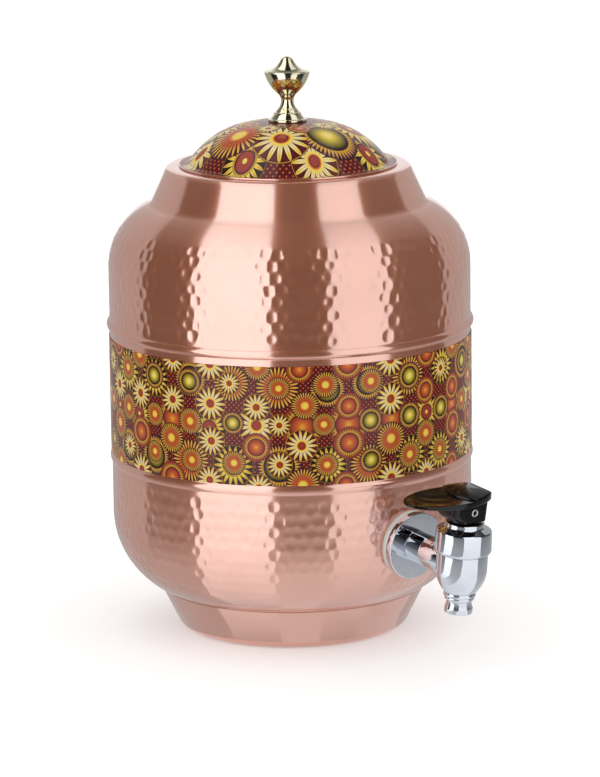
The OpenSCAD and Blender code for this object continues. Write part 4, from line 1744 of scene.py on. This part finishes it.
@dataclass
class Lever:
    """Black push lever on its cross pin."""

    finishes: Finishes
    barrel: Matrix
    pin_z: float = 30.2
    pin_r: float = 1.25
    head_r: float = 2.15
    turn: float = 92.0
    half_block: float = 7.3
    block_back: Point = (8.0, 8.9)
    block_front: float = 13.5
    front_round: float = 4.0
    low: float = -5.6
    foot_r: float = 9.3
    foot_h: float = 1.8
    slot: tuple[float, float, float, float] = (4.1, 5.4, 2.8, 4.0)
    cap_back: float = -9.3
    cap_w: float = 16.4
    reach: float = 38.6
    width: float = 28.6
    under: float = 5.9
    top: float = 8.6
    tip_t: float = 1.3
    crest: float = 2.7
    seam: Point = (9.4, 40.0)
    dish: float = 1.5
    dish_x: float = 21.5
    dish_half: Point = (15.2, 13.0)
    dish_power: float = 1.15
    cap_x: float = 4.6
    corner_soft: float = 1.6

    @property
    def place(self) -> Matrix:
        """Frame at the pin, with x along the paddle."""
        spin = Matrix.Rotation(radians(-90 - self.turn), 4, "Z")
        return self.barrel @ spin @ Matrix.Translation((0, 0, self.pin_z))

    @property
    def oval(self) -> Point:
        """Half length of the paddle's oval, and its middle."""
        half = (self.reach - self.cap_back) / (1 + sqrt(1 - (self.cap_w / self.width) ** 2))
        return half, self.reach - half

    def half_width(self, x: float) -> float:
        """Half of the oval's width at a distance from the pin."""
        half, mid = self.oval
        return self.width / 2 * sqrt(max(0.0, 1 - ((x - mid) / half) ** 2))

    def rim(self, start: float, steps: int) -> Outline:
        """The oval's side from a distance ahead of the pin back to the cap's corner.

        Args:
            start: Distance of the first point.
            steps: Chords of the line.

        Returns:
            Points on the side of positive y.
        """
        half, mid = self.oval
        first, last = acos(max(-1.0, min(1.0, (start - mid) / half))), acos((self.cap_back - mid) / half)
        angles = [first + (last - first) * i / steps for i in range(steps + 1)]
        return [(mid + half * cos(a), self.width / 2 * sin(a)) for a in angles]

    def mirrored(self, side: Outline) -> Outline:
        """Closed outline from the side of positive y, with softened rear corners."""
        back = [(x, -y) for x, y in side[::-1] if y > TINY]
        return softened(side + back, self.corner_soft, 6)

    def paddle_top(self, x: float, y: float) -> float:
        """Height of the dished paddle's upper face.

        Args:
            x: Distance from the pin along the paddle.
            y: Distance from the paddle's middle line.

        Returns:
            The height from the pin.
        """
        long, wide = self.dish_half
        bowl = max(0.0, 1 - ((x - self.dish_x) / long) ** 2 - (y / wide) ** 2)
        return self.top - self.dish * bowl ** self.dish_power

    def paddle_under(self, x: float, y: float) -> float:
        """Height of the paddle's lower face, which rises to the tip."""
        share = max(0.0, (x - self.block_front) / (self.reach - self.block_front))
        return self.under + (self.top - self.tip_t - self.under) * share

    def cap_top(self, x: float, y: float) -> float:
        """Height of the cap's crowned upper face.

        Args:
            x: Distance from the pin along the paddle.
            y: Distance from the paddle's middle line.

        Returns:
            The height from the pin.
        """
        ridge, front, back = -1.0, 1.9, 0.8
        ahead, behind = 10.2, 8.3
        rear_fall, more_fall, blend = 0.4, 1.2, 9.0
        line = front * ((x - ridge) / ahead) ** 2 if x > ridge else back * ((ridge - x) / behind) ** 2
        share = min(1.0, max(0.0, (x - self.cap_back) / blend))
        fall = rear_fall + more_fall * share * share * (3 - 2 * share)
        half = self.half_width(max(x, self.cap_back + 0.1))
        return self.top + self.crest - line - fall * (y / half) ** 2

    def build_plates(self) -> list[bpy.types.Mesh]:
        """Dished paddle, and the raised cap behind it.

        Returns:
            Both meshes, in millimetres.
        """
        paddle = self.mirrored(self.rim(self.reach, 90))
        ahead, bend = self.seam
        side = self.rim(self.cap_x, 40)
        front = [(ahead - y * y / bend, y) for y in (side[0][1] * k / 16 for k in range(16))]
        proud = 1.004
        cap = [(x * proud, y * proud) for x, y in self.mirrored(front + side)]
        return [
            slab(paddle, (14.0, 0.0), self.paddle_top, self.paddle_under, (0.55, 0.6), 24),
            slab(cap, (-1.0, 0.0), self.cap_top, lambda x, y: self.under + 0.1, (0.75, 0.5), 14),
        ]

    def block_line(self, z: float) -> Outline:
        """The block's outline at a height, rounded in front towards its foot.

        Args:
            z: Height from the pin.

        Returns:
            Its corners, with rounded ends.
        """
        base = self.low + self.foot_h
        lift = max(0.0, base + self.front_round - z)
        low_back, high_back = self.block_back
        back = low_back + (high_back - low_back) * (z - self.low) / (self.under - self.low)
        wide, rear = self.half_block, 1.5
        if z < base + TINY:
            edge = asin(wide / self.foot_r)
            front = arc((0, 0), self.foot_r, -degrees(edge), degrees(edge), 16)
        else:
            tip = self.block_front - self.front_round + sqrt(max(0.0, self.front_round ** 2 - lift ** 2))
            corner = 2.2 + 2.4 * lift / self.front_round
            front = arc((tip - corner, corner - wide), corner, -90, 0, 8)
            front += arc((tip - corner, wide - corner), corner, 0, 90, 8)
        sides = arc((rear - back, wide - rear), rear, 90, 180, 6)
        return front + sides + arc((rear - back, rear - wide), rear, 180, 270, 6)

    def build_block(self) -> bpy.types.Mesh:
        """Block under the cap, with the slot for the stem.

        Returns:
            Its mesh, in millimetres.
        """
        count, edge, steps, taper = 96, 0.4, 8, 0.95
        base = self.low + self.foot_h
        heights = [base + self.front_round * (1 - cos(pi / 2 * k / steps)) for k in range(1, steps + 1)]
        heights.append(self.under + edge)
        loops = [[(x * taper, y * taper) for x, y in around(self.block_line(self.low), count)]]
        levels = [self.low]
        for z in [self.low + edge, base] + heights:
            loops.append(around(self.block_line(z), count))
            levels.append(z)
        s_back, s_front, s_half, s_top = self.slot
        hole = around([(s_front, -s_half), (s_front, s_half), (-s_back, s_half), (-s_back, -s_half)], count)
        loops = [hole, hole] + loops
        levels = [s_top, self.low] + levels
        verts = [(x, y, z) for loop, z in zip(loops, levels) for x, y in loop]
        faces: list[tuple[int, ...]] = []
        for k in range(len(loops) - 1):
            a, b = k * count, (k + 1) * count
            faces += [(a + i, a + (i + 1) % count, b + (i + 1) % count, b + i) for i in range(count)]
        faces += [tuple(range(count)), tuple(range((len(loops) - 1) * count, len(loops) * count))]
        mesh = bpy.data.meshes.new("block")
        mesh.from_pydata(verts, [], faces)
        return mesh

    def build_lever(self) -> bpy.types.Object:
        """Paddle, cap and block in one moulding.

        Returns:
            The new object.
        """
        bm = bmesh.new()
        for mesh in self.build_plates() + [self.build_block()]:
            bm.from_mesh(mesh)
        bmesh.ops.recalc_face_normals(bm, faces=bm.faces)
        mesh = bpy.data.meshes.new("lever_black")
        bm.to_mesh(mesh)
        bm.free()
        mesh.transform(Matrix.Scale(MM, 4) @ self.place)
        return link("lever_black", mesh, 42)

    def build_pin(self) -> bpy.types.Object:
        """Tubular cross pin with two rounded heads.

        Returns:
            The new object.
        """
        half, r, h = self.half_block + 0.08, self.head_r, 0.4
        hollow, deep = 1.1, 1.2
        side = [(0, 0), (self.pin_r, 0), (self.pin_r, half), (r, half), (r, half + h * 0.4)]
        side += [(r - 0.3, half + h), (hollow + 0.3, half + h), (hollow, half + h * 0.4)]
        side += [(hollow - 0.25, half + h - deep), (0, half + h - deep)]
        side = softened(side, 0.16, 3, closed=False)
        turn = Matrix.Rotation(pi / 2, 4, "X")
        return joined("lever_rivet", [
            lathe(side, 64, self.place @ turn),
            lathe(side, 64, self.place @ Matrix.Rotation(pi, 4, "Z") @ turn),
        ], 30)

    def dress(self) -> None:
        """Builds all pieces and hands them to the frame."""
        f = self.finishes
        seat(self.build_lever(), Body.LEVER, Slot.BLACK, f.black, "lever")
        seat(self.build_pin(), Body.STEM, Slot.STEEL, f.steel, "lever_pin")


# Studio


@dataclass(frozen=True)
class Panel:
    """One softbox or card, given by where its mirror image lies on the vessel.

    It reaches from start to end around the vessel, in degrees from the camera's side. It has one light
    where it stands upright and fades from there to its foot and its head. The rest is the share of the way
    up that keeps the foot's light.
    """

    name: str
    start: float
    end: float
    light: float
    foot: float
    head: float
    rest: float = 0.0


@dataclass
class Studio:
    """Camera, pale floor, and softboxes and cards around the part.

    Each row of the panels is given by the vessel's curve that shows it, as height and radius of the curve,
    and by how far the curve's face rises there.
    """

    eye: tuple[float, float, float] = (-1349.3, -1650.1, 581.7)
    aside: float = 39.4
    pitch: float = 12.10
    roll: float = -0.713
    focal_px: float = 4156.4
    frame_px: float = 777.0
    glow: float = 0.30
    sensor: float = 36.0
    floor_half: float = 8.0
    floor_drop: float = 0.0004
    floor_tone: Colour = (0.86, 0.86, 0.86)
    wall_r: float = WALL_R
    ring_r: float = 240.0
    low: float = 0.6
    top: float = 615.0
    rows: tuple[tuple[float, float, float], ...] = (
        (44, BOWL_R, -70), (46, BOWL_R, -55), *((BOWL_Z, BOWL_R, rise) for rise in (-40, -30, -20, -10, 0)),
        (86, BOWL_R, 0), (168, SHOULDER_R, 0),
        *((SHOULDER_Z, SHOULDER_R, rise) for rise in (0, 15, 30, 40, 50, 57, 64)),
    )
    wall_row: int = 8
    head_row: int = 11
    panels: tuple[Panel, ...] = (
        Panel("softbox left", -31, -6, light=1.8, foot=0.6, head=1.4),
        Panel("softbox right", 12.5, 32, light=1.3, foot=0.6, head=0.9),
        Panel("dark card left", -52, -31, light=0.02, foot=0.5, head=0.25, rest=0.5),
        Panel("dark card middle", -6, 12.5, light=0.02, foot=0.8, head=0.02, rest=0.5),
        Panel("dark card right", 32, 56.5, light=0.05, foot=0.7, head=0.35, rest=0.5),
        Panel("side card left", -86, -52, light=0.45, foot=0.5, head=0.5),
        Panel("side card right", 56.5, 86, light=0.45, foot=0.5, head=0.5),
    )
    roof: tuple[Point, ...] = ((-700, 0.90), (-200, 0.15), (0, 0.05), (700, 0.05))
    roof_z: float = 620.0
    roof_half: float = 700.0

    def build_camera(self) -> None:
        """Camera at the photograph's place and angle."""
        p, r, a = radians(self.pitch), radians(self.roll), radians(self.aside)
        right, up = Vector((1, 0, 0)), Vector((0, sin(p), cos(p)))
        ahead = Vector((0, cos(p), -sin(p)))
        right, up = cos(r) * right + sin(r) * up, -sin(r) * right + cos(r) * up
        turn = Matrix.Rotation(-a, 3, "Z")
        axes = Matrix((turn @ right, turn @ up, turn @ -ahead)).transposed()
        lens = bpy.data.cameras.new("camera")
        lens.sensor_fit = "VERTICAL"
        lens.sensor_height = self.sensor
        lens.lens = self.focal_px * self.sensor / self.frame_px
        lens.clip_end = 50.0
        camera = bpy.data.objects.new("camera", lens)
        camera.matrix_world = Matrix.Translation(Vector(self.eye) * MM) @ axes.to_4x4()
        bpy.context.scene.collection.objects.link(camera)
        bpy.context.scene.camera = camera

    def seen(self, tree: bpy.types.NodeTree) -> Socket:
        """Whether a ray comes from the camera, a mirror or glass.

        Args:
            tree: Node tree to add to.

        Returns:
            1 for such a ray, else 0.
        """
        path = tree.nodes.new("ShaderNodeLightPath")
        total: Socket = path.outputs["Is Camera Ray"]
        for name in ("Is Glossy Ray", "Is Transmission Ray"):
            node = tree.nodes.new("ShaderNodeMath")
            node.operation = "MAXIMUM"
            tree.links.new(total, node.inputs[0])
            tree.links.new(path.outputs[name], node.inputs[1])
            total = node.outputs[0]
        return total

    def build_world(self) -> None:
        """Plain white all around."""
        world = bpy.data.worlds.new("studio")
        bpy.context.scene.world = world
        world.use_nodes = True
        back = world.node_tree.nodes["Background"]
        back.inputs["Color"].default_value = (1.0, 1.0, 1.0, 1.0)
        back.inputs["Strength"].default_value = 1.0

    def build_floor(self) -> None:
        """Pale floor that keeps the part's shadow."""
        mesh = bpy.data.meshes.new("floor")
        half = self.floor_half
        corners = [(-half, -half, 0), (half, -half, 0), (half, half, 0), (-half, half, 0)]
        mesh.from_pydata(corners, [], [(0, 1, 2, 3)])
        floor = bpy.data.objects.new("floor", mesh)
        bpy.context.scene.collection.objects.link(floor)
        floor.location.z = -self.floor_drop
        s = Shading("pale floor")
        diffuse = s.tree.nodes.new("ShaderNodeBsdfDiffuse")
        s.set(diffuse.inputs["Color"], self.floor_tone)
        glow = s.tree.nodes.new("ShaderNodeEmission")
        s.set(glow.inputs["Strength"], s.math("MULTIPLY", self.seen(s.tree), self.glow))
        both = s.tree.nodes.new("ShaderNodeAddShader")
        s.tree.links.new(diffuse.outputs[0], both.inputs[0])
        s.tree.links.new(glow.outputs[0], both.inputs[1])
        s.tree.links.new(both.outputs[0], s.out.inputs[0])
        mesh.materials.append(s.material)

    def mirrored(self, row: tuple[float, float, float], turn: float) -> Vector:
        """Where a panel must be to show at one place of the vessel.

        Args:
            row: Height, radius and rise of the vessel's curve there.
            turn: Angle around the vessel from the camera's side, in degrees.

        Returns:
            Place on the walls, floor or roof around the part, in millimetres, with x towards the camera.
        """
        level, radius, rise = row[0], row[1], radians(row[2])
        around = Matrix.Rotation(radians(turn), 3, "Z")
        reach = self.wall_r - radius + radius * cos(rise)
        place = around @ Vector((reach, 0, level + radius * sin(rise)))
        face = around @ Vector((cos(rise), 0, sin(rise)))
        ray = (place - Vector((hypot(*self.eye[:2]), 0, self.eye[2]))).reflect(face).normalized()
        flat, toward = ray.xy.length_squared, place.xy.dot(ray.xy)
        far = (sqrt(toward ** 2 + flat * (self.ring_r ** 2 - reach ** 2)) - toward) / flat
        limit = self.top if ray.z > 0 else self.low
        return place + ray * min(far, (limit - place.z) / ray.z)

    def lit(self, panel: Panel, number: int) -> float:
        """How bright a panel is at one of the rows.

        Args:
            panel: The panel.
            number: Number of the row, counted from the foot.

        Returns:
            Its light, where 1 is white.
        """
        rise = min(1.0, max(0.0, (number / self.wall_row - panel.rest) / (1 - panel.rest)))
        bend = max(0.0, (number - self.head_row) / (len(self.rows) - 1 - self.head_row))
        return panel.foot + (panel.light - panel.foot) * rise + (panel.head - panel.light) * bend

    def hang(self, name: str, verts: Sequence[tuple], faces: Sequence[tuple],
             lights: Sequence[float]) -> None:
        """Adds a panel that shows in shiny faces and stays out of the camera's sight.

        Args:
            name: Name of the panel.
            verts: Its corners in millimetres, with x towards the camera.
            faces: Its faces.
            lights: How bright it is at each corner, where 1 is white.
        """
        mesh = bpy.data.meshes.new(name)
        mesh.from_pydata(verts, [], faces)
        turn = Matrix.Rotation(atan2(self.eye[1], self.eye[0]), 4, "Z")
        mesh.transform(Matrix.Scale(MM, 4) @ turn)
        mesh.attributes.new("light", "FLOAT", "POINT").data.foreach_set("value", lights)
        panel = bpy.data.objects.new(name.replace(" ", "_"), mesh)
        bpy.context.scene.collection.objects.link(panel)
        s = Shading(name)
        bright = s.tree.nodes.new("ShaderNodeAttribute")
        bright.attribute_name = "light"
        glow = s.tree.nodes.new("ShaderNodeEmission")
        s.set(glow.inputs["Strength"], bright.outputs["Fac"])
        s.tree.links.new(glow.outputs[0], s.out.inputs[0])
        mesh.materials.append(s.material)
        panel.visible_camera = False
        panel.visible_diffuse = False
        panel.visible_shadow = False

    def build_panels(self) -> None:
        """Softboxes and cards around and above the part, and a plain card over them."""
        steps = 16
        for p in self.panels:
            turns = [p.start + (p.end - p.start) * i / steps for i in range(steps + 1)]
            verts = [tuple(self.mirrored(row, turn)) for row in self.rows for turn in turns]
            faces = [
                (row + i, row + i + 1, row + i + steps + 2, row + i + steps + 1)
                for row in range(0, len(verts) - steps - 1, steps + 1) for i in range(steps)
            ]
            lights = [self.lit(p, row) for row in range(len(self.rows)) for _ in turns]
            self.hang(p.name, verts, faces, lights)
        verts = [(x, y, self.roof_z) for x, _ in self.roof for y in (-self.roof_half, self.roof_half)]
        faces = [(i, i + 1, i + 3, i + 2) for i in range(0, len(verts) - 2, 2)]
        self.hang("card overhead", verts, faces, [light for _, light in self.roof for _ in (-1, 1)])

    def build(self) -> None:
        """Sets up camera, world, floor and panels."""
        bpy.context.scene.view_settings.view_transform = "Standard"
        self.build_camera()
        self.build_world()
        self.build_floor()
        self.build_panels()


def main() -> None:
    """Builds the part's looks in order."""
    logging.basicConfig(level=logging.INFO, format="%(name)s: %(message)s")
    finishes = Finishes.make()
    Vessel(finishes).dress()
    Lid(finishes).dress()
    tap = Tap(finishes)
    tap.dress()
    Lever(finishes, tap.barrel_place).dress()
    Studio().build()


if __name__ == "__main__":
    main()
